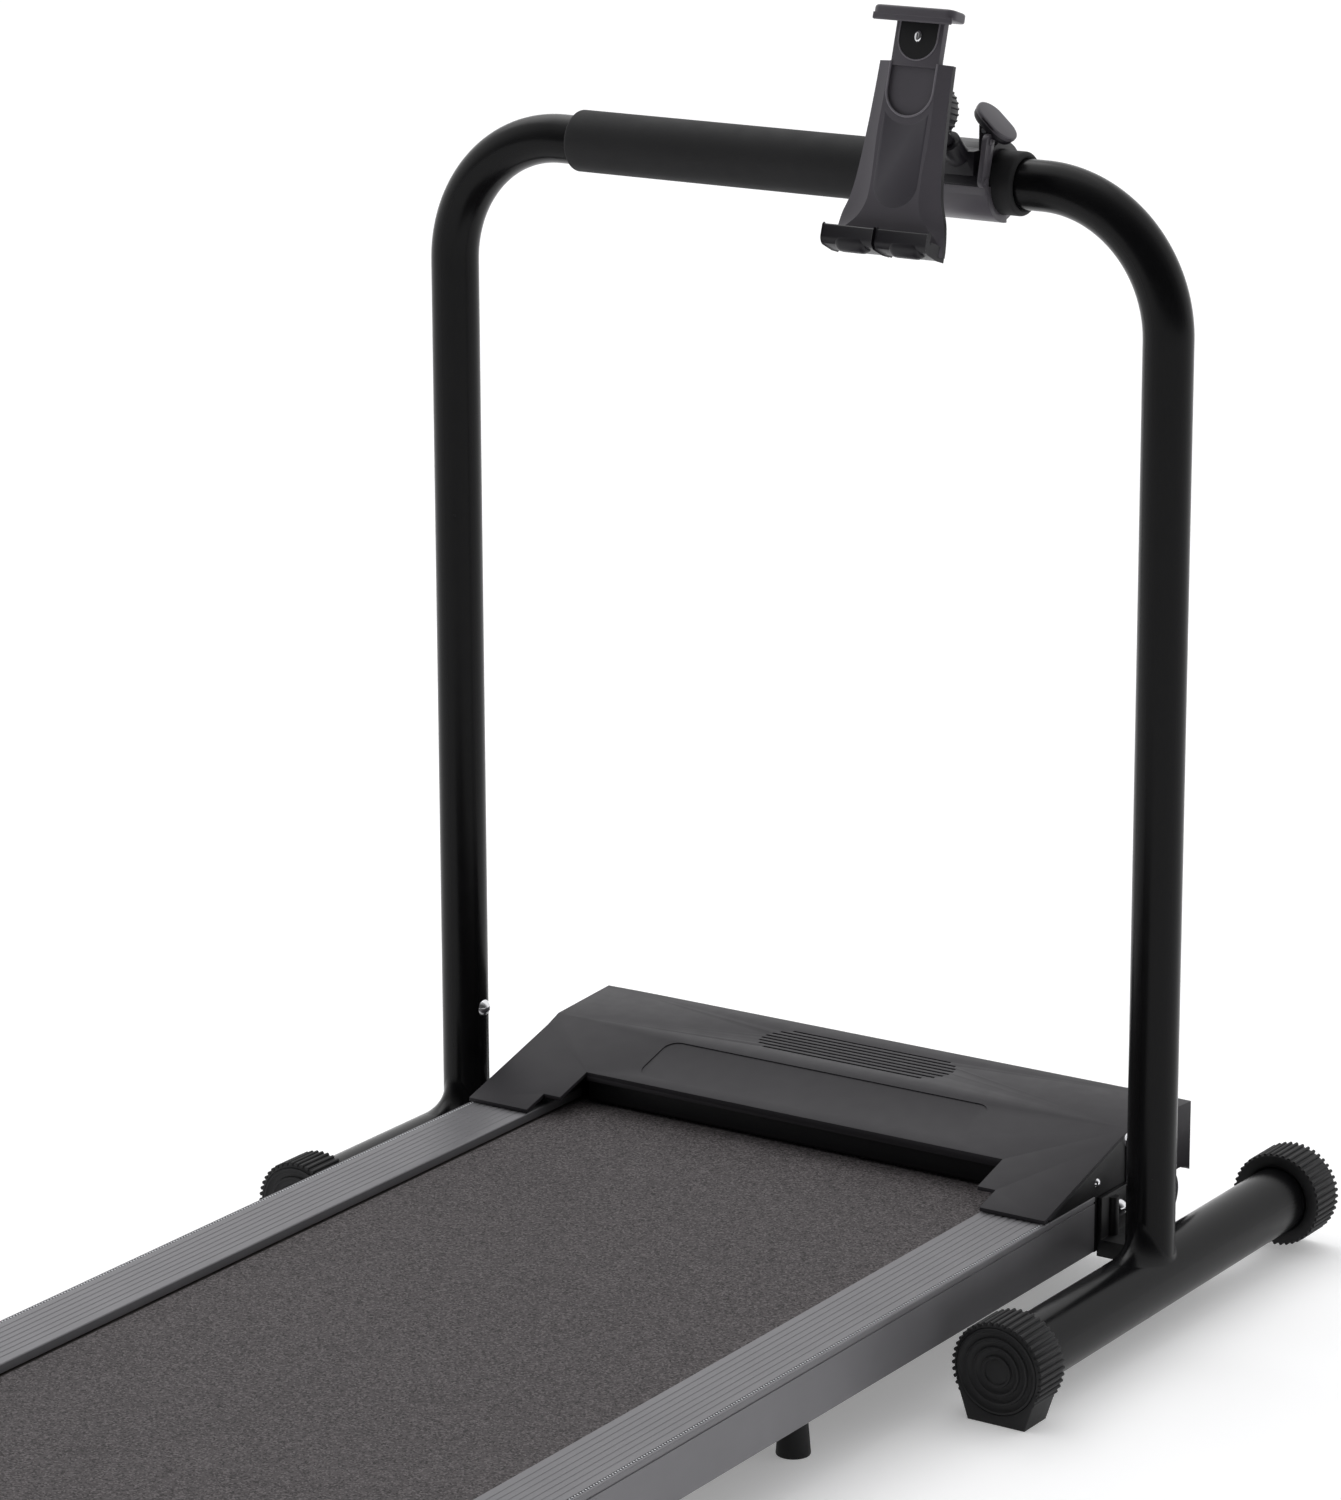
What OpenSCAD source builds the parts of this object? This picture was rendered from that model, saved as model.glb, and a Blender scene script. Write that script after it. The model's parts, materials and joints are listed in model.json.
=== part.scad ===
// Walking treadmill with a U-shaped handle stand, a motor cover and a tablet holder.
// Millimetres. +X is the runner's right, +Y is forward to the motor end, +Z is up.
// The origin lies on the floor, under the middle of the whole object.

/* [Stand] */
// Distance between the centre lines of the two uprights
upright_spacing = 642; // [620:1:680]
// Height of the grip bar's centre line
bar_height = 875; // [780:5:950]
// Outer diameter of the handle tube
tube_d = 38; // [34:1:40]
// Wall of the handle tube
tube_wall = 1.5; // [1:0.1:2]
// Centre-line radius of the two upper bends
bend_r = 105; // [80:1:115]
// Length of the foam grip
grip_length = 400; // [300:5:410]
// Outer diameter of the foam grip
grip_d = 48; // [46:1:52]
// Outer diameter of the floor tubes
base_tube_d = 52; // [48:1:56]
// Length of each floor tube over its end caps
base_length = 478; // [440:2:490]
// Diameter of the ribbed end caps
cap_d = 76; // [72:1:80]
// Length of the ribbed end caps
cap_length = 36; // [30:1:60]

/* [Deck] */
// Overall length from the rear caps to the motor cover's front wall
deck_length = 1179; // [1100:1:1240]
// Width over the two side rails
deck_w = 536; // [520:2:560]
// Width between the rails' inner edges
belt_gap = 422; // [400:2:430]
// Height of the rails' tread above the floor
rail_top = 95; // [90:1:100]
// Height of the rails' side wall
rail_h = 46; // [42:1:48]
// Height of the belt's running surface
belt_top = 89; // [85:1:91]
// Thickness of the running belt
belt_t = 1.8; // [1.4:0.1:2.2]
// Width of the running belt
belt_w = 412; // [390:2:414]
// Radius of both rollers
roller_r = 18; // [16:0.5:18]

/* [Motor cover] */
// Height of the cover's flat top
hood_top = 135; // [129:1:145]
// Wall of the cover
hood_wall = 3; // [2:0.5:3]
// Width between the two wings, where the belt comes out
lip_w = 390; // [370:2:400]
// Number of slots in the air grille
vent_slots = 8; // [5:1:9]

/* [Tablet holder] */
// Sideways place of the clamp and holder on the bar
holder_x = 159; // [60:1:160]
// Backward lean of the holder's face, in degrees
holder_lean = 16.5; // [5:0.1:25]
// Width of the bar clamp
clamp_w = 44; // [36:1:48]

/* [Hidden] */
$fn = 64;
eps = 0.01;
gap = 0.3;              // space between pieces that move past each other
fit = 0.05;             // radial clearance of a running shaft

rear_y = -636;          // the deck's rear end; the front end caps reach as far forward
front_y = -rear_y;
upright_y = front_y - 245;
upright_x = upright_spacing / 2;
tube_r = tube_d / 2;
base_r = base_tube_d / 2;
base_z = 42;
base_rear_y = front_y - base_length;
cap_r = cap_d / 2;
cap_wall = 5;
cap_ribs = 44;
spigot_top = 180;
bracket_t = 4;
bracket_rib_y = upright_y + 29;
bracket_bolt = [upright_y + 41.5, 76.5];
bolt_z = 150;
bolt_r = 4;
bolt_head_r = 7;
bolt_seat = 0.6;

rail_x = deck_w / 2;
rail_in = belt_gap / 2;
rail_bottom = rail_top - rail_h;
rail_rear_y = rear_y + 46;
rail_front_y = upright_y + 8;
beam_in = 232;
beam_out = rail_x - 2.5;
beam_top = rail_top - 4;
beam_bottom = rail_bottom + 2;
beam_front_y = upright_y + 105;

roller_z = belt_top - belt_t - roller_r - gap;
roller_half = 209;
front_roller_y = upright_y + 45;
rear_roller_y = rear_y + 44;
shaft_r = 6;
bearing_r = 11;
bearing_w = 8;
deck_board_top = belt_top - 2.4;
deck_bottom = deck_board_top - 12;
cross_tube_y = [-500, 33, 330];
foot_x = 225;
foot_y = [-500, 33];
cross_top = deck_bottom - 4.6;
cross_low = cross_top - 16;

hood_front_y = rear_y + deck_length;
hood_crease_y = upright_y + 60;
hood_lip_y = upright_y - 8;
hood_wing_y = upright_y - 70;
hood_wing_z = rail_top + 3.6;
hood_slope = (hood_top - hood_wing_z) / (hood_crease_y - hood_wing_y);
hood_bottom = 58;
pan_bottom = 43;

motor_y = upright_y + 102;
motor_z = 89;
motor_r = 34;
motor_x0 = -190;
motor_x1 = -50;
pulley_x0 = -229;
pulley_x1 = -213;
motor_pulley_r = 9;
roller_pulley_r = 19.5;
drive_belt_t = 2.4;

wheel_r = 22;
wheel_y = upright_y + 130;
wheel_z = 59;
wheel_x0 = 246;
wheel_x1 = 265;
axle_r = 4;
ear_x = 236;

panel_x = [33, 179];     // the opening for the switch and the mains inlet
panel_z = [69, 101];

clamp_x0 = holder_x - 2 - clamp_w / 2;
clamp_x1 = clamp_x0 + clamp_w;
clamp_mid = (clamp_x0 + clamp_x1) / 2;
clamp_in = grip_d / 2 + 0.1;
clamp_out = 30;
jaw_pin = [33, 0];      // from the bar's centre, as [Y, Z]
lower_pin = [-32, 5];
upper_pin = [-25, 33];
ball_c = [-74, 60];
ball_r = 9;
stem_r = 4.5;
stem_from = [-30, 21];
lever_axis = [clamp_x1 - 3.4, -12, 40.6];
holder_origin = [holder_x, upright_y - 109, bar_height + 48.3];

function arc(cx, cy, r, a0, a1, n = 8) =
    [for (i = [0:n]) let (a = a0 + (a1 - a0) * i / n) [cx + r * cos(a), cy + r * sin(a)]];
function hood_z(y) = hood_top - max(0, hood_crease_y - y) * hood_slope;

// The cover flares from the rails' width to its front corners, and its front wall is slightly bowed.
hood_flare_y = upright_y + 42;
hood_corner = [rail_x + 9, hood_front_y - 7];
hood_bow = hood_front_y - hood_corner[1];
hood_bow_r = (pow(hood_corner[0], 2) + pow(hood_bow, 2)) / (2 * hood_bow);
hood_wall_y = upright_y + 56;

// ---- helpers ----

// A cylinder along X from x0 to x1, centred on [y, z].
module x_cylinder(r, x0, x1, y, z) {
    translate([x0, y, z]) rotate([0, 90, 0]) cylinder(r = r, h = x1 - x0);
}

// A cylinder along Y from y0 to y1, centred on [x, z].
module y_cylinder(r, y0, y1, x, z) {
    translate([x, y0, z]) rotate([-90, 0, 0]) cylinder(r = r, h = y1 - y0);
}

// A box given by its lowest and highest corners.
module block(low, high) {
    translate(low) cube(high - low);
}

// A flat outline in [Y, Z], drawn out along X.
module along_x(x0, x1) {
    translate([x0, 0, 0]) rotate([90, 0, 90]) linear_extrude(x1 - x0) children();
}

// A flat outline in [X, Z], drawn out along Y.
module along_y(y0, y1) {
    translate([0, y1, 0]) rotate([90, 0, 0]) linear_extrude(y1 - y0) children();
}

// Puts a right-hand piece on the left.
module on_left() {
    mirror([1, 0, 0]) children();
}

module both_sides() {
    children();
    on_left() children();
}

// The outline of a belt around two wheels, at a given distance off them.
module belt_outline(c1, r1, c2, r2) {
    span = c2 - c1;
    lean = atan2(span[1], span[0]);
    open = acos((r1 - r2) / norm(span));
    translate(c1) circle(r1);
    translate(c2) circle(r2);
    polygon([
        c1 + r1 * [cos(lean + open), sin(lean + open)],
        c1 + r1 * [cos(lean - open), sin(lean - open)],
        c2 + r2 * [cos(lean - open), sin(lean - open)],
        c2 + r2 * [cos(lean + open), sin(lean + open)]
    ]);
}

// A bar with round ends between two points.
module link_outline(p1, p2, r1, r2) {
    belt_outline(p1, r1, p2, r2);
}

// ---- stand ----

// The solid shape of the U tube at a given radius.
module u_tube(r, bottom) {
    bend_z = bar_height - bend_r;
    bend_x = upright_x - bend_r;
    both_sides() {
        translate([upright_x, upright_y, bottom]) cylinder(r = r, h = bend_z - bottom);
        translate([bend_x, upright_y, bend_z]) rotate([90, 0, 0])
            rotate_extrude(angle = 90) translate([bend_r, 0]) circle(r);
    }
    x_cylinder(r, -bend_x, bend_x, upright_y, bar_height);
}

module handle_frame() {
    color("#141416") difference() {
        u_tube(tube_r, base_z);
        u_tube(tube_r - tube_wall, base_z - 1);
        both_sides() {
            y_cylinder(base_r, base_rear_y, base_rear_y + base_length, upright_x, base_z);
            x_cylinder(bolt_r, upright_x - 2 * tube_r, upright_x, upright_y, bolt_z);
            // flat seat under the bolt's head
            x_cylinder(bolt_head_r + gap, upright_x - 2 * tube_r, upright_x - tube_r + bolt_seat,
                upright_y, bolt_z);
        }
    }
}

module foam_grip() {
    chamfer = 2;
    half = grip_length / 2;
    r = grip_d / 2;
    color("#1b1b1c") translate([0, upright_y, bar_height]) rotate([0, 90, 0])
        rotate_extrude() polygon([
            [tube_r, -half], [r - chamfer, -half], [r, -half + chamfer],
            [r, half - chamfer], [r - chamfer, half], [tube_r, half]
        ]);
}

// A floor tube with the spigot that the upright slides over.
module base_tube() {
    spigot_r = tube_r - tube_wall - fit;
    color("#17171a") difference() {
        union() {
            y_cylinder(base_r, base_rear_y + cap_wall, base_rear_y + base_length - cap_wall,
                upright_x, base_z);
            translate([upright_x, upright_y, base_z]) cylinder(r = spigot_r, h = spigot_top - base_z);
        }
        y_cylinder(base_r - 2, base_rear_y, base_rear_y + base_length, upright_x, base_z);
        translate([upright_x, upright_y, base_z + base_r])
            cylinder(r = spigot_r - 3, h = spigot_top);
        x_cylinder(bolt_r, upright_x - 2 * tube_r, upright_x, upright_y, bolt_z);
    }
}

module base_tube_right() {
    base_tube();
}

module base_tube_left() {
    on_left() base_tube();
}

// A ribbed rubber cap with its closed end at y = 0, opening towards +Y, with or without a flat foot.
module base_cap(foot) {
    rib_depth = 1.6;
    foot_half = 19;
    color("#121212") difference() {
        along_y(0, cap_length) union() {
            circle(cap_r - rib_depth);
            for (i = [0:cap_ribs - 1])
                rotate(i * 360 / cap_ribs) translate([cap_r - rib_depth, 0])
                    circle(rib_depth, $fn = 6);
            if (foot)
                polygon([[-foot_half, -base_z], [foot_half, -base_z], [foot_half + 7, -26],
                    [-foot_half - 7, -26]]);
        }
        y_cylinder(base_r, cap_wall, cap_length + 1, 0, 0);
        for (r = [11, 18, 25])
            rotate([90, 0, 0]) translate([0, 0, -1]) difference() {
                cylinder(r = r + 0.8, h = 2);
                translate([0, 0, -1]) cylinder(r = r - 0.8, h = 4);
            }
    }
}

module rear_base_cap() {
    translate([upright_x, base_rear_y, base_z]) base_cap(true);
}

module front_base_cap() {
    translate([upright_x, base_rear_y + base_length, base_z]) mirror([0, 1, 0]) base_cap(false);
}

module base_cap_rear_right() {
    rear_base_cap();
}

module base_cap_rear_left() {
    on_left() rear_base_cap();
}

module base_cap_front_right() {
    front_base_cap();
}

module base_cap_front_left() {
    on_left() front_base_cap();
}

// The bracket that carries the deck on the floor tube.
module stand_bracket() {
    arm_y0 = upright_y + 12;
    arm_y1 = upright_y + 66;
    arm_z1 = rail_bottom + 10;
    rib_r = 4.5;
    color("#0e0e10") difference() {
        union() {
            block([rail_x, arm_y0, rail_bottom - 4],
                [rail_x + bracket_t, hood_wall_y - gap, rail_top - 2]);
            block([rail_x, arm_y0, rail_bottom - 4], [upright_x, arm_y1, arm_z1]);
            translate([rail_x + rib_r + 0.2, bracket_rib_y, rail_bottom]) cylinder(r = rib_r, h = rail_h - 5);
        }
        y_cylinder(base_r, arm_y0 - 1, arm_y1 + 1, upright_x, base_z);
        x_cylinder(bolt_r, rail_x - 1, rail_x + bracket_t + 1, bracket_bolt[0], bracket_bolt[1]);
    }
}

module stand_bracket_right() {
    stand_bracket();
}

module stand_bracket_left() {
    on_left() stand_bracket();
}

// A domed bolt head with its flat side at x = 0, pointing along -X.
module dome_head() {
    head_h = 5;
    dome_r = (bolt_head_r * bolt_head_r + head_h * head_h) / (2 * head_h);
    intersection() {
        translate([dome_r - head_h, 0, 0]) sphere(dome_r);
        x_cylinder(bolt_head_r, -head_h - 1, 0, 0, 0);
    }
}

// Domed bolts: one through each upright's inner wall, one through each bracket.
module stand_bolts() {
    face = upright_x - tube_r;
    color("#c8c8cc") both_sides() {
        translate([face + bolt_seat, upright_y, bolt_z]) dome_head();
        x_cylinder(bolt_r - fit, face, face + 12, upright_y, bolt_z);
        translate([rail_x + bracket_t, bracket_bolt[0], bracket_bolt[1]]) mirror([1, 0, 0]) dome_head();
        x_cylinder(bolt_r - fit, rail_x, rail_x + bracket_t + 1, bracket_bolt[0], bracket_bolt[1]);
    }
}

module stand_insert_nuts() {
    bore_r = tube_r - tube_wall - fit - 3;
    seat = upright_x - sqrt(bore_r * bore_r - 49);
    color("#8b8c90") both_sides() difference() {
        x_cylinder(7, seat, seat + 6, upright_y, bolt_z);
        x_cylinder(bolt_r, seat - 1, seat + 7, upright_y, bolt_z);
    }
}

// ---- deck ----

// The ribbed aluminium step rail.
module side_rail() {
    skin = 2.5;
    groove_w = 3;
    groove_pitch = 6.4;
    color("#77777b") along_y(rail_rear_y, rail_front_y) difference() {
        union() {
            translate([rail_in, rail_top - skin]) square([rail_x - rail_in, skin]);
            translate([rail_x - skin, rail_bottom]) square([skin, rail_h]);
            translate([rail_in, rail_top - 7]) square([skin, 7]);
            translate([rail_x - 14, rail_bottom]) square([14, 2]);
        }
        for (i = [0:6])
            translate([rail_in + 7 + i * groove_pitch, rail_top - 0.8]) square([groove_w, 2]);
        translate([rail_x - 1, rail_top - 4.4]) square([2, 1]);
    }
}

module side_rail_right() {
    side_rail();
}

module side_rail_left() {
    on_left() side_rail();
}

// The steel box beam that the rail, rollers and cross tubes fasten to.
module side_beam() {
    wall = 2;
    slot_h = 2 * shaft_r + 0.4;
    color("#2a2a2d") difference() {
        along_y(rear_y + 16, beam_front_y) difference() {
            translate([beam_in, beam_bottom]) square([beam_out - beam_in, beam_top - beam_bottom]);
            translate([beam_in + wall, beam_bottom + wall])
                square([beam_out - beam_in - 2 * wall, beam_top - beam_bottom - 2 * wall]);
        }
        block([beam_in - 1, rear_roller_y - 14, roller_z - slot_h / 2],
            [beam_in + wall + 1, rear_roller_y + 14, roller_z + slot_h / 2]);
        x_cylinder(shaft_r, beam_in - 1, beam_in + wall + 1, front_roller_y, roller_z);
    }
}

module side_beam_right() {
    side_beam();
}

module side_beam_left() {
    on_left() side_beam();
}

module cross_tubes() {
    width = 30;
    wall = 2;
    tall = cross_top - cross_low;
    color("#2a2a2d") for (y = cross_tube_y) along_x(-beam_in, beam_in) difference() {
        translate([y - width / 2, cross_low]) square([width, tall]);
        translate([y - width / 2 + wall, cross_low + wall])
            square([width - 2 * wall, tall - 2 * wall]);
    }
}

module running_deck() {
    color("#6b4f34") block([-226, rear_roller_y + 28, deck_bottom],
        [226, front_roller_y - 31, deck_board_top]);
}

module deck_cushions() {
    color("#202020") both_sides() for (y = cross_tube_y)
        translate([195, y, cross_top]) cylinder(r = 12, h = deck_bottom - cross_top);
}

module running_belt() {
    rear = [rear_roller_y, roller_z];
    front = [front_roller_y, roller_z];
    color("#5b5557") along_x(-belt_w / 2, belt_w / 2) difference() {
        belt_outline(front, roller_r + gap + belt_t, rear, roller_r + gap + belt_t);
        belt_outline(front, roller_r + gap, rear, roller_r + gap);
    }
}

// A roller tube whose ends are bored for the bearings.
module roller(y) {
    color("#a9abb0") difference() {
        x_cylinder(roller_r, -roller_half, roller_half, y, roller_z);
        x_cylinder(roller_r - 2.5, bearing_w + 8 - roller_half, roller_half - bearing_w - 8,
            y, roller_z);
        x_cylinder(bearing_r, -roller_half - 1, roller_half + 1, y, roller_z);
    }
}

module front_roller() {
    roller(front_roller_y);
}

module rear_roller() {
    roller(rear_roller_y);
}

module front_roller_shaft() {
    color("#b5b6ba") x_cylinder(shaft_r, -250, 250, front_roller_y, roller_z);
}

module rear_roller_shaft() {
    color("#b5b6ba") x_cylinder(shaft_r, -250, 250, rear_roller_y, roller_z);
}

// Four bearings, pressed on the shafts inside the rollers' ends.
module roller_bearings() {
    color("#8f9196") both_sides() for (y = [front_roller_y, rear_roller_y]) difference() {
        x_cylinder(bearing_r - fit, roller_half - bearing_w, roller_half, y, roller_z);
        x_cylinder(shaft_r, roller_half - bearing_w - 1, roller_half + 1, y, roller_z);
    }
}

// The grooved pulley on the front roller's left end.
module roller_pulley() {
    color("#3a3a3e") difference() {
        union() {
            x_cylinder(roller_pulley_r, pulley_x0, pulley_x1, front_roller_y, roller_z);
            x_cylinder(roller_r - 3, pulley_x1 - eps, -roller_half, front_roller_y, roller_z);
        }
        x_cylinder(shaft_r + gap, pulley_x0 - 1, 0, front_roller_y, roller_z);
        for (i = [0:3]) translate([pulley_x0 + 3 + i * 3, front_roller_y, roller_z]) rotate([0, 90, 0])
            difference() {
                cylinder(r = roller_pulley_r + 1, h = 1.4);
                translate([0, 0, -1]) cylinder(r = roller_pulley_r - 1.2, h = 4);
            }
    }
}

module tension_bolts() {
    head_y = rear_y + 1;
    color("#c0c1c5") both_sides() difference() {
        union() {
            y_cylinder(3.5, head_y, rear_roller_y - shaft_r, 246, roller_z);
            y_cylinder(6, head_y, head_y + 5, 246, roller_z);
        }
        translate([246, head_y - 1, roller_z]) rotate([-90, 0, 0]) cylinder(r = 3, h = 4, $fn = 6);
    }
}

// The moulded cap that closes the rear end of a rail.
module rear_cap() {
    wall = 2.5;
    corner = 14;
    top = rail_top + 1;
    low = rail_bottom - 1;
    inner_x = rail_in;
    outer_x = rail_x + 1;
    color("#1e1e20") difference() {
        along_x(inner_x, outer_x) polygon(concat(
            arc(rear_y + corner, top - corner, corner, 180, 90),
            [[rail_rear_y, top], [rail_rear_y, low]],
            arc(rear_y + 6, low + 6, 6, 270, 180, 4)
        ));
        along_x(inner_x + wall, outer_x - wall) polygon(concat(
            arc(rear_y + corner, top - corner, corner - wall, 180, 90),
            [[rail_rear_y + 1, top - wall], [rail_rear_y + 1, low + wall],
             [rear_y + wall, low + wall]]
        ));
        block([inner_x - 1, rear_roller_y - 14, roller_z - 9],
            [inner_x + wall + 1, rail_rear_y + 1, roller_z + 9]);
        y_cylinder(7, rear_y - 1, rear_y + wall + 4, 246, roller_z);
    }
}

module rear_cap_right() {
    rear_cap();
}

module rear_cap_left() {
    on_left() rear_cap();
}

// Conical rubber feet screwed under the cross tubes' ends.
module rubber_feet() {
    cone_h = 36;
    color("#161616") both_sides() for (y = foot_y) translate([foot_x, y, 0]) {
        cylinder(r1 = 13, r2 = 10, h = cone_h);
        translate([0, 0, cone_h]) cylinder(r = 5, h = cross_low - cone_h);
    }
}

// ---- drive ----

module motor_body() {
    color("#2f3033") difference() {
        union() {
            x_cylinder(motor_r, motor_x0 + 6, motor_x1 - 6, motor_y, motor_z);
            x_cylinder(motor_r - 3, motor_x0, motor_x1, motor_y, motor_z);
        }
        x_cylinder(motor_r - 4, motor_x0 + 6, motor_x1 - 6, motor_y, motor_z);
        x_cylinder(5 + fit, motor_x0 - 1, motor_x0 + 7, motor_y, motor_z);
        x_cylinder(5 + fit, motor_x1 - 7, motor_x1 - 2, motor_y, motor_z);
    }
}

// The shaft with its armature.
module motor_rotor() {
    color("#9a5a34") union() {
        x_cylinder(5, pulley_x0 - 1, motor_x1 - 3, motor_y, motor_z);
        x_cylinder(27, motor_x0 + 20, motor_x1 - 20, motor_y, motor_z);
    }
}

module motor_pulley() {
    color("#4a4a4e") difference() {
        x_cylinder(motor_pulley_r, pulley_x0, pulley_x1, motor_y, motor_z);
        x_cylinder(5, pulley_x0 - 1, pulley_x1 + 1, motor_y, motor_z);
    }
}

// A plate across the beams with two saddles for the motor.
module motor_mount() {
    plate_top = motor_z - motor_r;
    plate_y = [motor_y - 28, motor_y + 20];
    color("#3b3c40") difference() {
        union() {
            block([-beam_in, plate_y[0], plate_top - 4], [beam_in, plate_y[1], plate_top]);
            for (x = [motor_x0 + 12, motor_x1 - 22])
                block([x, motor_y - 24, plate_top - eps], [x + 10, plate_y[1], plate_top + 14]);
        }
        x_cylinder(motor_r, motor_x0, motor_x1, motor_y, motor_z);
    }
}

module drive_belt() {
    front = [motor_y, motor_z];
    rear = [front_roller_y, roller_z];
    color("#151515") along_x(pulley_x0 + 2, pulley_x1 - 2) difference() {
        belt_outline(rear, roller_pulley_r + gap + drive_belt_t,
            front, motor_pulley_r + gap + drive_belt_t);
        belt_outline(rear, roller_pulley_r + gap, front, motor_pulley_r + gap);
    }
}

module heat_sink() {
    low = motor_z - motor_r;
    color("#b0b2b6") union() {
        block([70, motor_y - 22, low], [190, motor_y + 22, low + 6]);
        for (i = [0:9])
            block([72 + i * 12.6, motor_y - 22, low + 6 - eps], [75 + i * 12.6, motor_y + 22, low + 22]);
    }
}

// The circuit board with its capacitors and transformer.
module control_board() {
    low = motor_z - motor_r + 22;
    color("#1f5a34") union() {
        block([62, motor_y - 28, low], [198, motor_y + 23, low + 1.6]);
        for (x = [84, 106, 128])
            translate([x, motor_y - 8, low + 1]) cylinder(r = 9, h = 32);
        block([148, motor_y - 16, low + 1], [186, motor_y + 16, low + 28]);
        block([70, motor_y + 10, low + 1], [132, motor_y + 22, low + 14]);
    }
}

// ---- motor cover and lower pan ----

// One grille slot, set in a stadium outline.
module vent_slot(i) {
    pitch = 6.6;
    slot_w = 2.8;
    length = 178;
    half_h = (vent_slots - 1) * pitch / 2 + slot_w;
    off = (i - (vent_slots - 1) / 2) * pitch;
    reach = length / 2 - half_h + sqrt(half_h * half_h - off * off);
    translate([0, off]) square([2 * reach, slot_w], center = true);
}

// Filled outline in [Y, Z] under the cover's skin, inset by a wall.
module hood_section(rear, inset = 0) {
    round_r = 7;
    front = hood_front_y - inset;
    top = hood_top - inset;
    polygon(concat(
        [[front, 0]],
        arc(front - round_r + inset, top - round_r + inset, round_r - inset, 0, 90),
        [[hood_crease_y, top], [rear, hood_z(rear) - inset], [rear, inset > 0 ? 0 : hood_z(rear) - hood_wall],
         [hood_wall_y, inset > 0 ? 0 : hood_z(hood_wall_y) - hood_wall], [hood_wall_y, 0]]
    ));
}

// The cover's outline seen from above, inset by a wall.
module hood_plan(inset = 0) {
    half = asin(hood_corner[0] / hood_bow_r);
    corner_x = hood_corner[0] - inset;
    polygon(concat(
        [[-rail_x + inset, hood_flare_y], [-rail_x, hood_wing_y - 5], [rail_x, hood_wing_y - 5],
         [rail_x - inset, hood_flare_y], [corner_x, hood_corner[1] - inset]],
        arc(0, hood_front_y - inset - hood_bow_r, hood_bow_r, 90 - half + 0.1, 90 + half - 0.1, 12),
        [[-corner_x, hood_corner[1] - inset]]
    ));
}

module motor_cover() {
    half_lip = lip_w / 2;
    notch = [16, 24];
    vent = [-5, upright_y + 101];
    side_low = 82;
    arch_r = wheel_r + 2.5;
    reach = hood_corner[0] + 1;
    color("#56555a") difference() {
        intersection() {
            union() {
                along_x(-half_lip, half_lip) hood_section(hood_lip_y);
                both_sides() along_x(half_lip - eps, reach) hood_section(hood_wing_y);
                block([-half_lip, hood_lip_y, hood_z(hood_lip_y) - 7],
                    [half_lip, hood_lip_y + 2.5, hood_z(hood_lip_y) - 1]);
            }
            translate([0, 0, hood_bottom]) linear_extrude(hood_top) hood_plan();
        }
        // the hollow under the skin: walled in at the sides in front, open at the sides behind
        intersection() {
            along_x(-reach, reach) hood_section(hood_wall_y, hood_wall);
            linear_extrude(hood_top) hood_plan(hood_wall);
        }
        both_sides() block([rail_x - 20, hood_wall_y, 0], [reach + 1, wheel_y, side_low]);
        both_sides() x_cylinder(arch_r, ear_x, reach + 1, wheel_y, wheel_z);
        both_sides() block([half_lip - 1, hood_wing_y - 1, 0],
            [half_lip + notch[0], hood_wing_y + notch[1], 200]);
        translate([vent[0], vent[1], hood_top - hood_wall - 1]) linear_extrude(hood_wall + 2)
            for (i = [0:vent_slots - 1]) vent_slot(i);
        block([panel_x[0] - 0.2, hood_front_y - 12, panel_z[0] - 0.2],
            [panel_x[1] + 0.2, hood_front_y + 1, panel_z[1] + 0.2]);
    }
}

// The black strip under the cover's lip, just above the belt.
module belt_guard() {
    color("#0d0d0e") block([-lip_w / 2, hood_lip_y + 3, belt_top + 3],
        [lip_w / 2, hood_lip_y + 6, hood_z(hood_lip_y) - hood_wall]);
}

// The black side wall between a wing and the rail.
module side_plate() {
    plate_in = rail_x - 2;
    rear = hood_wing_y + 8;
    under = hood_wall + 0.1;
    low_top = 81;
    low_front = wheel_y - 1;
    color("#111113") along_x(plate_in, rail_x) difference() {
        polygon([
            [rear, rail_top + 0.2], [rear, hood_z(rear) - under],
            [hood_wall_y - 0.2, hood_z(hood_wall_y) - under], [hood_wall_y - 0.2, low_top],
            [low_front, low_top], [low_front, rail_bottom],
            [rail_front_y + 0.2, rail_bottom], [rail_front_y + 0.2, rail_top + 0.2]
        ]);
        translate([wheel_y, wheel_z]) circle(wheel_r + 4);
    }
}

module side_plate_right() {
    side_plate();
}

module side_plate_left() {
    on_left() side_plate();
}

module cover_rivets() {
    color("#d0d0d2") both_sides() for (p = [[upright_y + 11, 105]])
        intersection() {
            translate([rail_x - 1.6, p[0], p[1]]) sphere(4);
            x_cylinder(3.6, rail_x, rail_x + 4, p[0], p[1]);
        }
}

// The tray under the motor bay, with ears for the transport wheels.
module belly_pan() {
    wall = 3;
    half = 242;
    pan_rear = front_roller_y - 24;
    front = hood_front_y - 6;
    color("#1a1a1c") difference() {
        union() {
            block([-half, pan_rear, pan_bottom], [half, front, pan_bottom + wall]);
            block([-half, front - wall, pan_bottom], [half, front, hood_bottom - gap]);
            both_sides() block([ear_x, wheel_y - 14, pan_bottom],
                [half, wheel_y + 10, wheel_z + 12]);
        }
        x_cylinder(axle_r, -half - 1, half + 1, wheel_y, wheel_z);
    }
}

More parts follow.
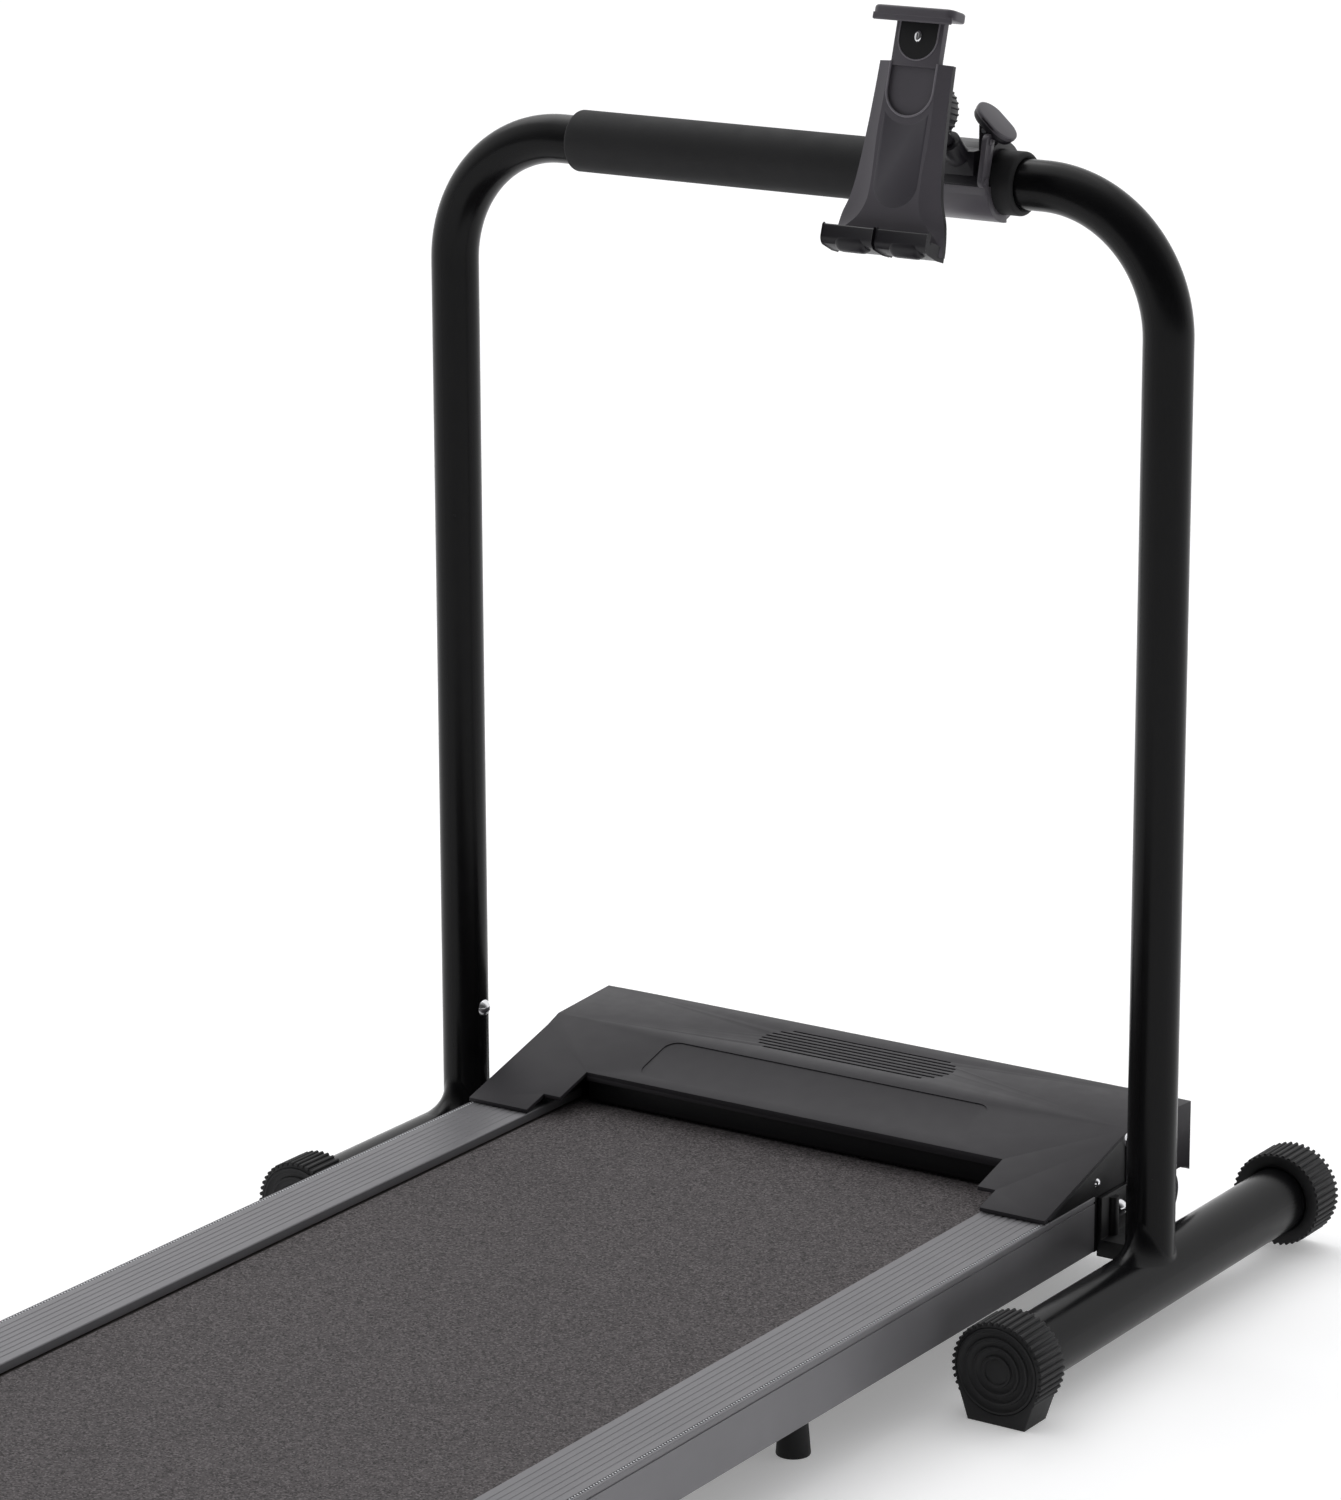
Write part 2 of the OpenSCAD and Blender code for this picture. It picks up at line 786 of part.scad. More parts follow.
module transport_wheel() {
    color("#26262a") difference() {
        union() {
            x_cylinder(wheel_r, wheel_x0 + 2, wheel_x1 - 2, wheel_y, wheel_z);
            x_cylinder(wheel_r - 2, wheel_x0, wheel_x1, wheel_y, wheel_z);
        }
        x_cylinder(axle_r + fit, wheel_x0 - 1, wheel_x1 + 1, wheel_y, wheel_z);
        for (x = [wheel_x0 - 1, wheel_x1 - 3]) difference() {
            x_cylinder(wheel_r - 5, x, x + 4, wheel_y, wheel_z);
            x_cylinder(axle_r + 3, x - 1, x + 5, wheel_y, wheel_z);
        }
    }
}

module transport_wheel_right() {
    transport_wheel();
}

module transport_wheel_left() {
    on_left() transport_wheel();
}

module wheel_axles() {
    color("#b8b9bd") both_sides() {
        x_cylinder(axle_r, ear_x - 3, wheel_x1 + 1, wheel_y, wheel_z);
        x_cylinder(axle_r + 3, wheel_x1 + gap, wheel_x1 + 3, wheel_y, wheel_z);
        x_cylinder(axle_r + 3, ear_x - 6, ear_x, wheel_y, wheel_z);
    }
}

// ---- controls on the front wall ----

module power_inlet() {
    face = hood_front_y;
    color("#1c1c1e") difference() {
        union() {
            block([142, face - 26, 73], [174, face, 97]);
            block([137, face - 6, panel_z[0]], [panel_x[1], face + 2, panel_z[1]]);
        }
        block([146, face - 20, 77], [170, face + 4, 93]);
    }
}

// The frame that holds the rocker switch and the reset button.
module switch_body() {
    face = hood_front_y;
    color("#1c1c1e") difference() {
        union() {
            block([48, face - 22, 73], [124, face, 97]);
            block([panel_x[0], face - 6, panel_z[0]], [137, face + 2, panel_z[1]]);
        }
        block([94, face - 16, 75], [118, face + 4, 95]);
        y_cylinder(6, face - 14, face + 4, 60, 85);
    }
}

// The rocker, tipped on its cross pin.
module rocker_switch() {
    face = hood_front_y;
    color("#7d1f1b") along_x(95, 117) polygon([
        [face - 9, 82], [face - 9, 88], [face + 1, 92.5], [face + 0.5, 85], [face + 3.5, 78]
    ]);
}

module breaker_button() {
    face = hood_front_y;
    color("#d8d8d8") y_cylinder(6 - gap, face - 6, face + 6, 60, 85);
}

// ---- tablet holder: the bar clamp ----

// Upper or lower half of the clamp's round body, in [Y, Z] from the bar's centre.
module half_disc(upper) {
    room = 60;
    difference() {
        circle(clamp_out);
        translate([-room, upper ? gap - room : 0]) square([2 * room, room]);
    }
}

// The side of the jaw that shows beside the bar: its lower rear quarter.
module jaw_cheek() {
    room = 60;
    intersection() {
        circle(clamp_out);
        translate([-room, -room]) square(room);
    }
}

module at_bar() {
    translate([0, upright_y, bar_height]) children();
}

// Puts a shape that stands along Z on the ball stud's axis.
module on_stem() {
    angle = atan2(ball_c[1] - stem_from[1], ball_c[0] - stem_from[0]);
    translate([holder_x, stem_from[0], stem_from[1]]) rotate([angle - 90, 0, 0]) children();
}

module clamp_body() {
    knuckle_r = 5;
    ear_half = 4.5;
    color("#232326") at_bar() difference() {
        union() {
            along_x(clamp_x0, clamp_x1) half_disc(true);
            // shoulder and boss for the ball stud
            block([holder_x - 14, -32, 8], [holder_x + 14, -9, 26]);
            on_stem() cylinder(r = 9, h = 20);
            // two ears for the lever's pin
            for (y = [lever_axis[1] - 9, lever_axis[1] + 5])
                block([lever_axis[0] - ear_half, y, 10],
                    [clamp_x1, y + 4, lever_axis[2] + ear_half - 0.7]);
            // knuckle for the jaw
            x_cylinder(knuckle_r, clamp_mid - 8, clamp_mid + 8, jaw_pin[0], jaw_pin[1]);
        }
        x_cylinder(clamp_in, clamp_x0 - 1, clamp_x1 + 1, 0, 0);
        x_cylinder(2, clamp_x0 - 1, clamp_x1 + 1, jaw_pin[0], jaw_pin[1]);
        for (x = [clamp_x0 - 1, clamp_mid + 8])
            block([x, jaw_pin[0] - 6, -9], [x + clamp_w / 2 - 7, jaw_pin[0] + 12, 7]);
        y_cylinder(2, lever_axis[1] - 12, lever_axis[1] + 12, lever_axis[0], lever_axis[2]);
        on_stem() translate([0, 0, 10]) cylinder(r = stem_r, h = 13);
    }
}

module clamp_pins() {
    color("#9b9ca0") at_bar() {
        x_cylinder(2, clamp_x0, clamp_x1, jaw_pin[0], jaw_pin[1]);
        y_cylinder(2, lever_axis[1] - 10, lever_axis[1] + 10, lever_axis[0], lever_axis[2]);
    }
}

// The lower jaw with the side link that ends beside the lever.
module clamp_jaw() {
    plate_t = 4;
    knuckle_r = 5;
    knuckle_w = clamp_w / 2 - 8 - gap;
    link_x = clamp_x1 + gap;
    color("#4a494e") at_bar() difference() {
        union() {
            along_x(clamp_x0, clamp_x1) half_disc(false);
            for (x = [clamp_x0, clamp_mid + 8 + gap]) {
                x_cylinder(knuckle_r, x, x + knuckle_w, jaw_pin[0], jaw_pin[1]);
                block([x, jaw_pin[0] - 7, -10], [x + knuckle_w, jaw_pin[0] + 1, -2]);
            }
            along_x(clamp_x1 - eps, link_x + plate_t) jaw_cheek();
            along_x(link_x, link_x + plate_t) {
                link_outline(lower_pin, upper_pin, 5, 6);
                translate([-32, -6]) square([5, 10]);
            }
            for (p = [lower_pin, upper_pin])
                x_cylinder(2.6, link_x + 1, link_x + plate_t + 1.2, p[0], p[1]);
        }
        x_cylinder(clamp_in, clamp_x0 - 1, link_x + plate_t + 2, 0, 0);
        x_cylinder(2 + fit, clamp_x0 - 1, clamp_x1 + 1, jaw_pin[0], jaw_pin[1]);
        x_cylinder(knuckle_r + gap, clamp_mid - 8 - gap, clamp_mid + 8 + gap, jaw_pin[0], jaw_pin[1]);
    }
}

// The thumb lever: a cam barrel on the pin and an oval paddle that slopes outwards.
module clamp_lever() {
    slope = 42;
    paddle = [38, 26, 3];
    paddle_off = 6;
    barrel_r = 4.2;
    neck = 9.2;
    stalk = 6.4;
    color("#5a595f") at_bar() translate(lever_axis) union() {
        along_y(-neck / 2, neck / 2) difference() {
            union() {
                circle(barrel_r);
                rotate(-slope) translate([-stalk / 2, 0]) square([stalk, paddle_off + 1]);
            }
            circle(2 + fit);
        }
        rotate([0, slope, 0]) translate([0, 0, paddle_off]) linear_extrude(paddle[2]) {
            for (side = [-1, 1])
                translate([side * (paddle[0] - paddle[1]) / 2, 0]) circle(d = paddle[1]);
            square([paddle[0] - paddle[1], paddle[1]], center = true);
        }
    }
}

// ---- tablet holder: ball joint and cradle ----

module ball_stud() {
    reach = norm(ball_c - stem_from);
    color("#3c3c40") at_bar() union() {
        translate([holder_x, ball_c[0], ball_c[1]]) sphere(ball_r);
        on_stem() translate([0, 0, 10]) cylinder(r = stem_r, h = reach - 14);
    }
}

// Moves a shape into the leaning frame of the cradle's face: X across, -Y out of the face, Z up it.
module on_holder() {
    translate(holder_origin) rotate([-holder_lean, 0, 0]) children();
}

ball_rel = [0, ball_c[0] + upright_y - holder_origin[1], ball_c[1] + bar_height - holder_origin[2]];
ball_local = [
    0,
    ball_rel[1] * cos(holder_lean) - ball_rel[2] * sin(holder_lean),
    ball_rel[1] * sin(holder_lean) + ball_rel[2] * cos(holder_lean)
];
seat_out = ball_r + 3;
collar_out = 23;

// Spins a profile of [radius, distance along -Y] about the cradle's normal through the ball.
module spin_about_ball() {
    on_holder() translate(ball_local) rotate([90, 0, 0]) rotate_extrude() children();
}

// The liner between the ball and the collar.
module ball_seat() {
    seat_a = 26;
    color("#d9d9d4") spin_about_ball() polygon(concat(
        arc(0, 0, seat_out - gap, -seat_a, seat_a, 6),
        arc(0, 0, ball_r + 0.15, seat_a, -seat_a, 6)
    ));
}

// The knurled ring that tightens on the liner.
module lock_collar() {
    knurls = 32;
    front = 7.5;
    back = 5.5;
    color("#2b2b2e") difference() {
        on_holder() translate(ball_local) rotate([90, 0, 0]) translate([0, 0, -back])
            linear_extrude(front + back) union() {
                circle(collar_out - 1);
                for (i = [0:knurls - 1]) rotate(i * 360 / knurls) translate([collar_out - 1, 0])
                    circle(1, $fn = 8);
            }
        spin_about_ball() polygon(concat(
            [[0, front + 1], [seat_out - 1, front + 1]],
            arc(0, 0, seat_out + 0.1, 26, -26, 6),
            [[15, -back - 1], [0, -back - 1]]
        ));
    }
}

function cradle_half() = [[31, 52], [32, 19], [33, 0], [35.5, -31], [38.5, -48], [43, -61], [45, -71],
    [45, -80]];

module cradle_outline(inset = 0) {
    right = cradle_half();
    polygon(concat(
        [for (p = right) [p[0] - inset, p[1]]],
        [for (i = [len(right) - 1:-1:0]) [inset - right[i][0], right[i][1]]]
    ));
}

cradle_t = 9;
slide_half = 23;
slide_y = [2.8, 6.8];
screw_z = 71;

module holder_back() {
    hook_reach = 18;
    hook_w = 42;
    window_r = 20;
    hub_back = ball_local[1] - 7.5 - gap;
    color("#55525a") on_holder() difference() {
        union() {
            along_y(0, cradle_t) cradle_outline();
            // two hooks along the bottom edge
            for (x = [-1.5 - hook_w, 1.5]) {
                block([x, -hook_reach, -84], [x + hook_w, cradle_t, -79]);
                block([x, -hook_reach, -84], [x + hook_w, -hook_reach + 3.5, -74]);
            }
            // hub behind the face
            y_cylinder(17, cradle_t - eps, hub_back, 0, ball_local[2]);
        }
        // channel for the slider, open at the top
        block([-slide_half - gap, slide_y[0] - gap, -62], [slide_half + gap, slide_y[1] + gap, 60]);
        // window in the front skin, round at its foot
        along_y(-1, slide_y[0]) union() {
            translate([0, 32]) circle(window_r);
            translate([-window_r, 32]) square([2 * window_r, 30]);
        }
        y_cylinder(ball_r, hub_back - 3, hub_back + 1, 0, ball_local[2]);
    }
}

// The sprung plate with the upper jaw.
module holder_slider() {
    jaw_z = 83;
    top_half = 20;
    color("#55525a") on_holder() difference() {
        union() {
            block([-slide_half, slide_y[0], -45], [slide_half, slide_y[1], 50]);
            block([-top_half, slide_y[0], 49], [top_half, slide_y[1], jaw_z + 4]);
            block([-top_half, slide_y[0] - 2.4, 54], [top_half, slide_y[0] + 1, jaw_z + 4]);
            along_x(-34, 34) polygon([
                [slide_y[1] + 2, jaw_z], [slide_y[1] + 2, jaw_z + 7], [-10, jaw_z + 8],
                [-14, jaw_z + 5], [-14, jaw_z - 3], [-11, jaw_z - 3], [-9, jaw_z + 2]
            ]);
        }
        along_y(-1, slide_y[0] - 0.6) union() {
            translate([0, 70]) circle(16.5);
            translate([-16.5, 70]) square([33, jaw_z - 70]);
        }
        y_cylinder(2.5, -1, slide_y[1] + 1, 0, screw_z);
    }
}

module slider_screw() {
    color("#c9c9cc") on_holder() difference() {
        union() {
            y_cylinder(2.5, slide_y[0] - 0.6, slide_y[1], 0, screw_z);
            y_cylinder(5, slide_y[0] - 2.6, slide_y[0] - 0.6, 0, screw_z);
        }
        block([-6, 0, screw_z - 0.6], [6, slide_y[0] - 1.6, screw_z + 0.6]);
    }
}

handle_frame();
foam_grip();
base_tube_left();
base_tube_right();
base_cap_rear_left();
base_cap_rear_right();
base_cap_front_left();
base_cap_front_right();
stand_bracket_left();
stand_bracket_right();
stand_bolts();
stand_insert_nuts();
side_rail_left();
side_rail_right();
side_beam_left();
side_beam_right();
cross_tubes();
running_deck();
deck_cushions();
running_belt();
front_roller();
front_roller_shaft();
roller_bearings();
roller_pulley();
rear_roller();
rear_roller_shaft();
tension_bolts();
rear_cap_left();
rear_cap_right();
rubber_feet();
motor_body();
motor_rotor();
motor_pulley();
motor_mount();
drive_belt();
control_board();
heat_sink();
power_inlet();
switch_body();
rocker_switch();
breaker_button();
motor_cover();
belt_guard();
side_plate_left();
side_plate_right();
cover_rivets();
belly_pan();
transport_wheel_left();
transport_wheel_right();
wheel_axles();
clamp_body();
clamp_pins();
clamp_jaw();
clamp_lever();
ball_stud();
ball_seat();
lock_collar();
holder_back();
holder_slider();
slider_screw();
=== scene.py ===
"""Looks of a walking treadmill with a U-shaped handle and a clamp-on tablet holder.

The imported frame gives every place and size. This script dresses the frame's nodes, makes finer
pieces for the ones that show, and sets a plain studio round the machine. Lengths are in metres.
"""

from __future__ import annotations

import json
import logging
import math
from dataclasses import dataclass, field
from enum import Enum
from typing import Callable, Iterable, Sequence

import bmesh
import bpy
from mathutils import Matrix, Vector

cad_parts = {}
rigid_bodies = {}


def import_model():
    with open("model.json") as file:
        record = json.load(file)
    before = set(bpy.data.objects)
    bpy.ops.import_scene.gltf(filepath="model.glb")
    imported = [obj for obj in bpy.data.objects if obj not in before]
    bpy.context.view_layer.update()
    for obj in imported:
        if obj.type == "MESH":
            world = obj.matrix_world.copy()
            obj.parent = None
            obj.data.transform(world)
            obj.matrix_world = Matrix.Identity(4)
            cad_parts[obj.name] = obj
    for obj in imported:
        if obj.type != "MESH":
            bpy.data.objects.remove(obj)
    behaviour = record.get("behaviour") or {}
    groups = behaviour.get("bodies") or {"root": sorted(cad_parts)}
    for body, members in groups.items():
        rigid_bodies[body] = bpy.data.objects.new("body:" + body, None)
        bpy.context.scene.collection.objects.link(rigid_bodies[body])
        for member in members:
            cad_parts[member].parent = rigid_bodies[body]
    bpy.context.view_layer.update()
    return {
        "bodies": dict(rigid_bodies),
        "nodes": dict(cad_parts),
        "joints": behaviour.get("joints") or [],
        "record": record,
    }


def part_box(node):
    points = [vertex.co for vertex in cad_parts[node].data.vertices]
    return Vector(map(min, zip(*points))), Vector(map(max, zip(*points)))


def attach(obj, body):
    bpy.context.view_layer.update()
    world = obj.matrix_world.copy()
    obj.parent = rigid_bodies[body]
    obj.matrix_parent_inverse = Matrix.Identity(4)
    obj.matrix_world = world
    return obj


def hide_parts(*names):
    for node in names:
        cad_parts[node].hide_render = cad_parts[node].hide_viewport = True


LOG = logging.getLogger("treadmill")
MM = 0.001
ROOT = "deck_and_stand"
Point2 = tuple[float, float]
Colour = tuple[float, float, float]


# ---------------------------------------------------------------- materials


class Wire:
    """A shader socket on which sums are written as Python expressions."""

    def __init__(self, recipe: "Recipe", socket: bpy.types.NodeSocket | None) -> None:
        """Wraps one output socket.

        Args:
            recipe: the node tree that new Math nodes go into.
            socket: the output socket, or None for a node that only takes inputs.
        """
        self.recipe = recipe
        self.socket = socket

    def maths(self, operation: str, *values: "Wire | float") -> "Wire":
        """Adds a Math node.

        Args:
            operation: Blender's name of the operation.
            values: its inputs, in order.

        Returns:
            The result.
        """
        sockets = dict(enumerate(values))
        return self.recipe.node("ShaderNodeMath", {"operation": operation}, sockets)

    def __add__(self, other: "Wire | float") -> "Wire":
        """Sum."""
        return self.maths("ADD", self, other)

    def __sub__(self, other: "Wire | float") -> "Wire":
        """Difference."""
        return self.maths("SUBTRACT", self, other)

    def __rsub__(self, other: float) -> "Wire":
        """Difference, with the number first."""
        return self.maths("SUBTRACT", other, self)

    def __mul__(self, other: "Wire | float") -> "Wire":
        """Product."""
        return self.maths("MULTIPLY", self, other)

    __radd__ = __add__
    __rmul__ = __mul__

    def over(self, limit: float, width: float) -> "Wire":
        """A mask that is 1 above a limit, with a soft edge.

        Args:
            limit: where the mask reaches one half.
            width: how wide the edge is.

        Returns:
            The mask.
        """
        sockets = {"Value": self, "From Min": limit - width, "From Max": limit + width}
        return self.recipe.node("ShaderNodeMapRange", {"clamp": True}, sockets)


class Recipe:
    """The node tree of one material or world, in object coordinates."""

    def __init__(self, owner: bpy.types.Material | bpy.types.World) -> None:
        """Starts an empty tree.

        Args:
            owner: the new material or world.
        """
        self.owner = owner
        owner.use_nodes = True
        self.tree = owner.node_tree
        self.tree.nodes.clear()
        self.place = self.node("ShaderNodeTexCoord", output="Object")

    def node(
        self,
        kind: str,
        settings: dict[str, object] | None = None,
        sockets: dict[str | int, object] | None = None,
        output: str | int = 0,
    ) -> Wire:
        """Adds a node.

        Args:
            kind: the node's type.
            settings: attributes that are set first; "stops" fills a colour ramp.
            sockets: values or wires of its inputs.
            output: which output to return.

        Returns:
            The chosen output.
        """
        made = self.tree.nodes.new(kind)
        for key, value in (settings or {}).items():
            if key == "stops":
                ramp = made.color_ramp
                while len(ramp.elements) < len(value):
                    ramp.elements.new(0.5)
                for element, (place, colour) in zip(ramp.elements, value):
                    element.position = place
                    element.color = (*colour, 1.0)
            else:
                setattr(made, key, value)
        for key, value in (sockets or {}).items():
            if isinstance(value, Wire):
                self.tree.links.new(value.socket, made.inputs[key])
            else:
                made.inputs[key].default_value = value
        return Wire(self, made.outputs[output] if len(made.outputs) else None)

    def stretched(self, scale: Colour) -> Wire:
        """Object coordinates, multiplied along each axis."""
        return self.node("ShaderNodeMapping", None, {"Vector": self.place, "Scale": scale})

    def noise(self, size: float, detail: float = 2.0, place: Wire | None = None) -> Wire:
        """Soft noise.

        Args:
            size: the size of its spots in metres.
            detail: how many finer layers it has.
            place: coordinates, if not the object's own.

        Returns:
            A value about 0.5.
        """
        sockets = {"Vector": place or self.place, "Scale": 1 / size, "Detail": detail}
        return self.node("ShaderNodeTexNoise", None, sockets)

    def cells(self, size: float, output: str | int = 0) -> Wire:
        """Small irregular cells.

        Args:
            size: their size in metres.
            output: 0 for the distance to a cell's middle, or "Color" for its own tone.

        Returns:
            The chosen output.
        """
        sockets = {"Vector": self.place, "Scale": 1 / size}
        return self.node("ShaderNodeTexVoronoi", None, sockets, output)

    def mix(self, mask: Wire, low: Colour | Wire, high: Colour | Wire) -> Wire:
        """Blends two colours by a mask.

        Args:
            mask: 0 for the first colour and 1 for the second.
            low: the first colour.
            high: the second colour.

        Returns:
            The blended colour.
        """
        ends = [end if isinstance(end, Wire) else (*end, 1.0) for end in (low, high)]
        return self.node("ShaderNodeMix", {"data_type": "RGBA"}, {0: mask, 6: ends[0], 7: ends[1]}, 2)

    def close(
        self,
        colour: Wire,
        roughness: Wire,
        height: Wire,
        relief: float,
        fixed: dict[str, object],
    ) -> bpy.types.Material:
        """Adds the surface shader.

        Args:
            colour: base colour.
            roughness: roughness.
            height: what the bump follows, from 0 to 1.
            relief: the bump's height in metres.
            fixed: the shader's plain numbers.

        Returns:
            The material.
        """
        sockets = {"Height": height, "Distance": relief, "Strength": 1.0}
        bump = self.node("ShaderNodeBump", None, sockets)
        surface = self.node(
            "ShaderNodeBsdfPrincipled",
            None,
            {"Base Color": colour, "Roughness": roughness, "Normal": bump, **fixed},
        )
        self.node("ShaderNodeOutputMaterial", None, {"Surface": surface})
        return self.owner


class Grain(Enum):
    """How a surface is broken up at close range."""

    COATED = "orange peel of a powder coat"
    MOULDED = "fine spark-eroded texture"
    FOAM = "small open cells"
    RUBBER = "soft, slightly dusty"
    DRAWN = "lines along the length"
    TURNED = "faint turning marks"
    FLECKED = "belt fabric with light and dark flecks"
    BOARD = "wood fibres"


@dataclass(frozen=True)
class Finish:
    """One finish of the machine.

    Args:
        slot: the record's material slot.
        tint: base colour.
        roughness: mean roughness.
        grain: the kind of fine texture.
        size: the texture's size in millimetres.
        relief: the texture's height in millimetres.
        metallic: 1 for bare metal.
        coat: weight of a clear coat.
        specular: strength of the plain surface's reflection; 0.5 is that of glass.
        mottle: share by which the tone wanders.
        variant: tells apart two finishes of one slot.
    """

    slot: str
    tint: Colour
    roughness: float
    grain: Grain
    size: float = 0.6
    relief: float = 0.02
    metallic: float = 0.0
    coat: float = 0.0
    specular: float = 0.3
    mottle: float = 0.08
    variant: str = ""

    def tone(self, factor: float) -> Colour:
        """The tint, lighter or darker."""
        return tuple(min(1.0, c * factor) for c in self.tint)

    def height(self, recipe: Recipe) -> Wire:
        """The height field of this finish's grain.

        Args:
            recipe: the tree it is made in.

        Returns:
            A value from 0 to 1.
        """
        size = self.size * MM
        if self.grain is Grain.FOAM:
            return recipe.cells(size) * 0.7 + recipe.noise(size * 3) * 0.3
        if self.grain is Grain.DRAWN:
            return recipe.noise(size, 3.0, recipe.stretched((1.0, 0.01, 1.0)))
        if self.grain is Grain.TURNED:
            return recipe.noise(size, 2.0, recipe.stretched((1.0, 0.1, 0.1)))
        if self.grain is Grain.BOARD:
            return recipe.noise(size, 4.0, recipe.stretched((1.0, 0.03, 1.0)))
        if self.grain is Grain.FLECKED:
            return 1.0 - recipe.cells(size) * 0.8
        return recipe.noise(size, 3.0)

    def material(self) -> bpy.types.Material:
        """Builds the material, or finds the one built before.

        Returns:
            The material.
        """
        name = f"finish_{self.slot}{self.variant}"
        found = bpy.data.materials.get(name)
        if found:
            return found
        recipe = Recipe(bpy.data.materials.new(name))
        height = self.height(recipe)
        clouds = recipe.noise(60 * MM, 4.0)
        smudges = recipe.noise(14 * MM, 3.0)
        if self.grain is Grain.FLECKED:
            picked = recipe.cells(self.size * MM, "Color")
            lightness = recipe.node("ShaderNodeSeparateColor", None, {0: picked})
            light = lightness.over(0.80, 0.12)
            dark = 1.0 - lightness.over(0.24, 0.10)
            ground = recipe.mix(clouds.over(0.5, 0.25), self.tone(0.94), self.tone(1.06))
            colour = recipe.mix(dark, recipe.mix(light, ground, self.tone(1.75)), self.tone(0.45))
        else:
            mask = clouds * 0.6 + smudges * 0.25 + height * 0.15
            low, high = self.tone(1 - self.mottle), self.tone(1 + self.mottle)
            colour = recipe.mix(mask.over(0.5, 0.22), low, high)
        roughness = smudges.over(0.5, 0.3) * 0.08 + (self.roughness - 0.04)
        fixed = {
            "Metallic": self.metallic,
            "Coat Weight": self.coat,
            "Coat Roughness": 0.12,
            "Specular IOR Level": self.specular,
        }
        return recipe.close(colour, roughness, height, self.relief * MM, fixed)


class Finishes:
    """Every finish of the machine, by what it is on."""

    TUBE = Finish("tube_black", (0.0045, 0.0045, 0.005), 0.24, Grain.COATED, 2.2, 0.012, specular=0.14)
    FOAM = Finish("foam_black", (0.013, 0.013, 0.014), 0.68, Grain.FOAM, 0.9, 0.10, mottle=0.16)
    CAP = Finish("cap_rubber", (0.013, 0.013, 0.014), 0.58, Grain.RUBBER, 0.8, 0.03, mottle=0.14)
    BRACKET = Finish("bracket_black", (0.006, 0.006, 0.007), 0.40, Grain.COATED, 1.4, 0.02)
    CHROME = Finish("bolt_chrome", (0.74, 0.74, 0.76), 0.13, Grain.TURNED, 0.5, 0.003, 1.0)
    ZINC = Finish("zinc_steel", (0.52, 0.53, 0.55), 0.30, Grain.TURNED, 0.5, 0.006, 1.0)
    RAIL = Finish("rail_grey", (0.185, 0.182, 0.192), 0.45, Grain.DRAWN, 0.5, 0.012, 0.3)
    STEEL = Finish("frame_steel", (0.022, 0.022, 0.024), 0.45, Grain.COATED, 1.4, 0.02)
    BOARD = Finish("deck_board", (0.040, 0.036, 0.033), 0.5, Grain.BOARD, 2.0, 0.03, mottle=0.3)
    BELT = Finish("belt_grey", (0.080, 0.072, 0.074), 0.76, Grain.FLECKED, 1.35, 0.12, specular=0.2)
    ROLLER = Finish("roller_steel", (0.55, 0.56, 0.58), 0.28, Grain.TURNED, 0.6, 0.006, 1.0)
    BEARING = Finish("bearing_steel", (0.45, 0.46, 0.48), 0.25, Grain.TURNED, 0.4, 0.004, 1.0)
    DRIVE = Finish("drive_black", (0.013, 0.013, 0.013), 0.6, Grain.RUBBER, 0.6, 0.03)
    PULLEY = Finish("pulley_grey", (0.28, 0.28, 0.30), 0.42, Grain.TURNED, 0.8, 0.01, 1.0)
    MOTOR = Finish("motor_black", (0.026, 0.027, 0.030), 0.42, Grain.COATED, 1.4, 0.02)
    ROTOR = Finish("rotor_steel", (0.42, 0.25, 0.16), 0.38, Grain.TURNED, 0.7, 0.02, 1.0)
    CIRCUIT = Finish("board_green", (0.02, 0.10, 0.045), 0.35, Grain.MOULDED, 0.8, 0.02)
    SINK = Finish("sink_aluminium", (0.60, 0.61, 0.63), 0.35, Grain.DRAWN, 0.5, 0.01, 1.0)
    COVER = Finish(
        "cover_grey", (0.040, 0.038, 0.042), 0.46, Grain.MOULDED, 0.7, 0.018, specular=0.12, mottle=0.05
    )
    TRIM = Finish("trim_black", (0.008, 0.008, 0.009), 0.45, Grain.MOULDED, 0.7, 0.02)
    ROCKER = Finish("rocker_red", (0.30, 0.018, 0.014), 0.22, Grain.MOULDED, 1.2, 0.006)
    BUTTON = Finish("button_white", (0.70, 0.70, 0.68), 0.25, Grain.MOULDED, 1.2, 0.006)
    WHEEL = Finish("wheel_grey", (0.045, 0.045, 0.050), 0.55, Grain.RUBBER, 0.8, 0.03)
    CLAMP = Finish("clamp_black", (0.011, 0.010, 0.013), 0.38, Grain.MOULDED, 0.7, 0.015)
    JAW = Finish("clamp_grey", (0.085, 0.079, 0.090), 0.36, Grain.MOULDED, 0.7, 0.015)
    HOLDER = Finish("holder_grey", (0.085, 0.079, 0.091), 0.38, Grain.MOULDED, 0.6, 0.015, mottle=0.05)
    INSET = Finish("holder_grey", (0.060, 0.056, 0.066), 0.36, Grain.MOULDED, 0.6, 0.015, variant="_inset")
    # A lighter copy of the holder grey: a painted highlight on the thin raised lines round the window and
    # round the jaw's black sheet.
    BEZEL = Finish("holder_grey", (0.175, 0.165, 0.185), 0.34, Grain.MOULDED, 0.6, 0.01, variant="_bezel")
    LINER = Finish("liner_grey", (0.42, 0.42, 0.40), 0.4, Grain.MOULDED, 0.8, 0.01)


# ---------------------------------------------------------------- making pieces


def in_scene(mesh: bpy.types.Mesh, name: str) -> bpy.types.Object:
    """Links a mesh into the scene as an object at the origin."""
    made = bpy.data.objects.new(name, mesh)
    bpy.context.scene.collection.objects.link(made)
    return made


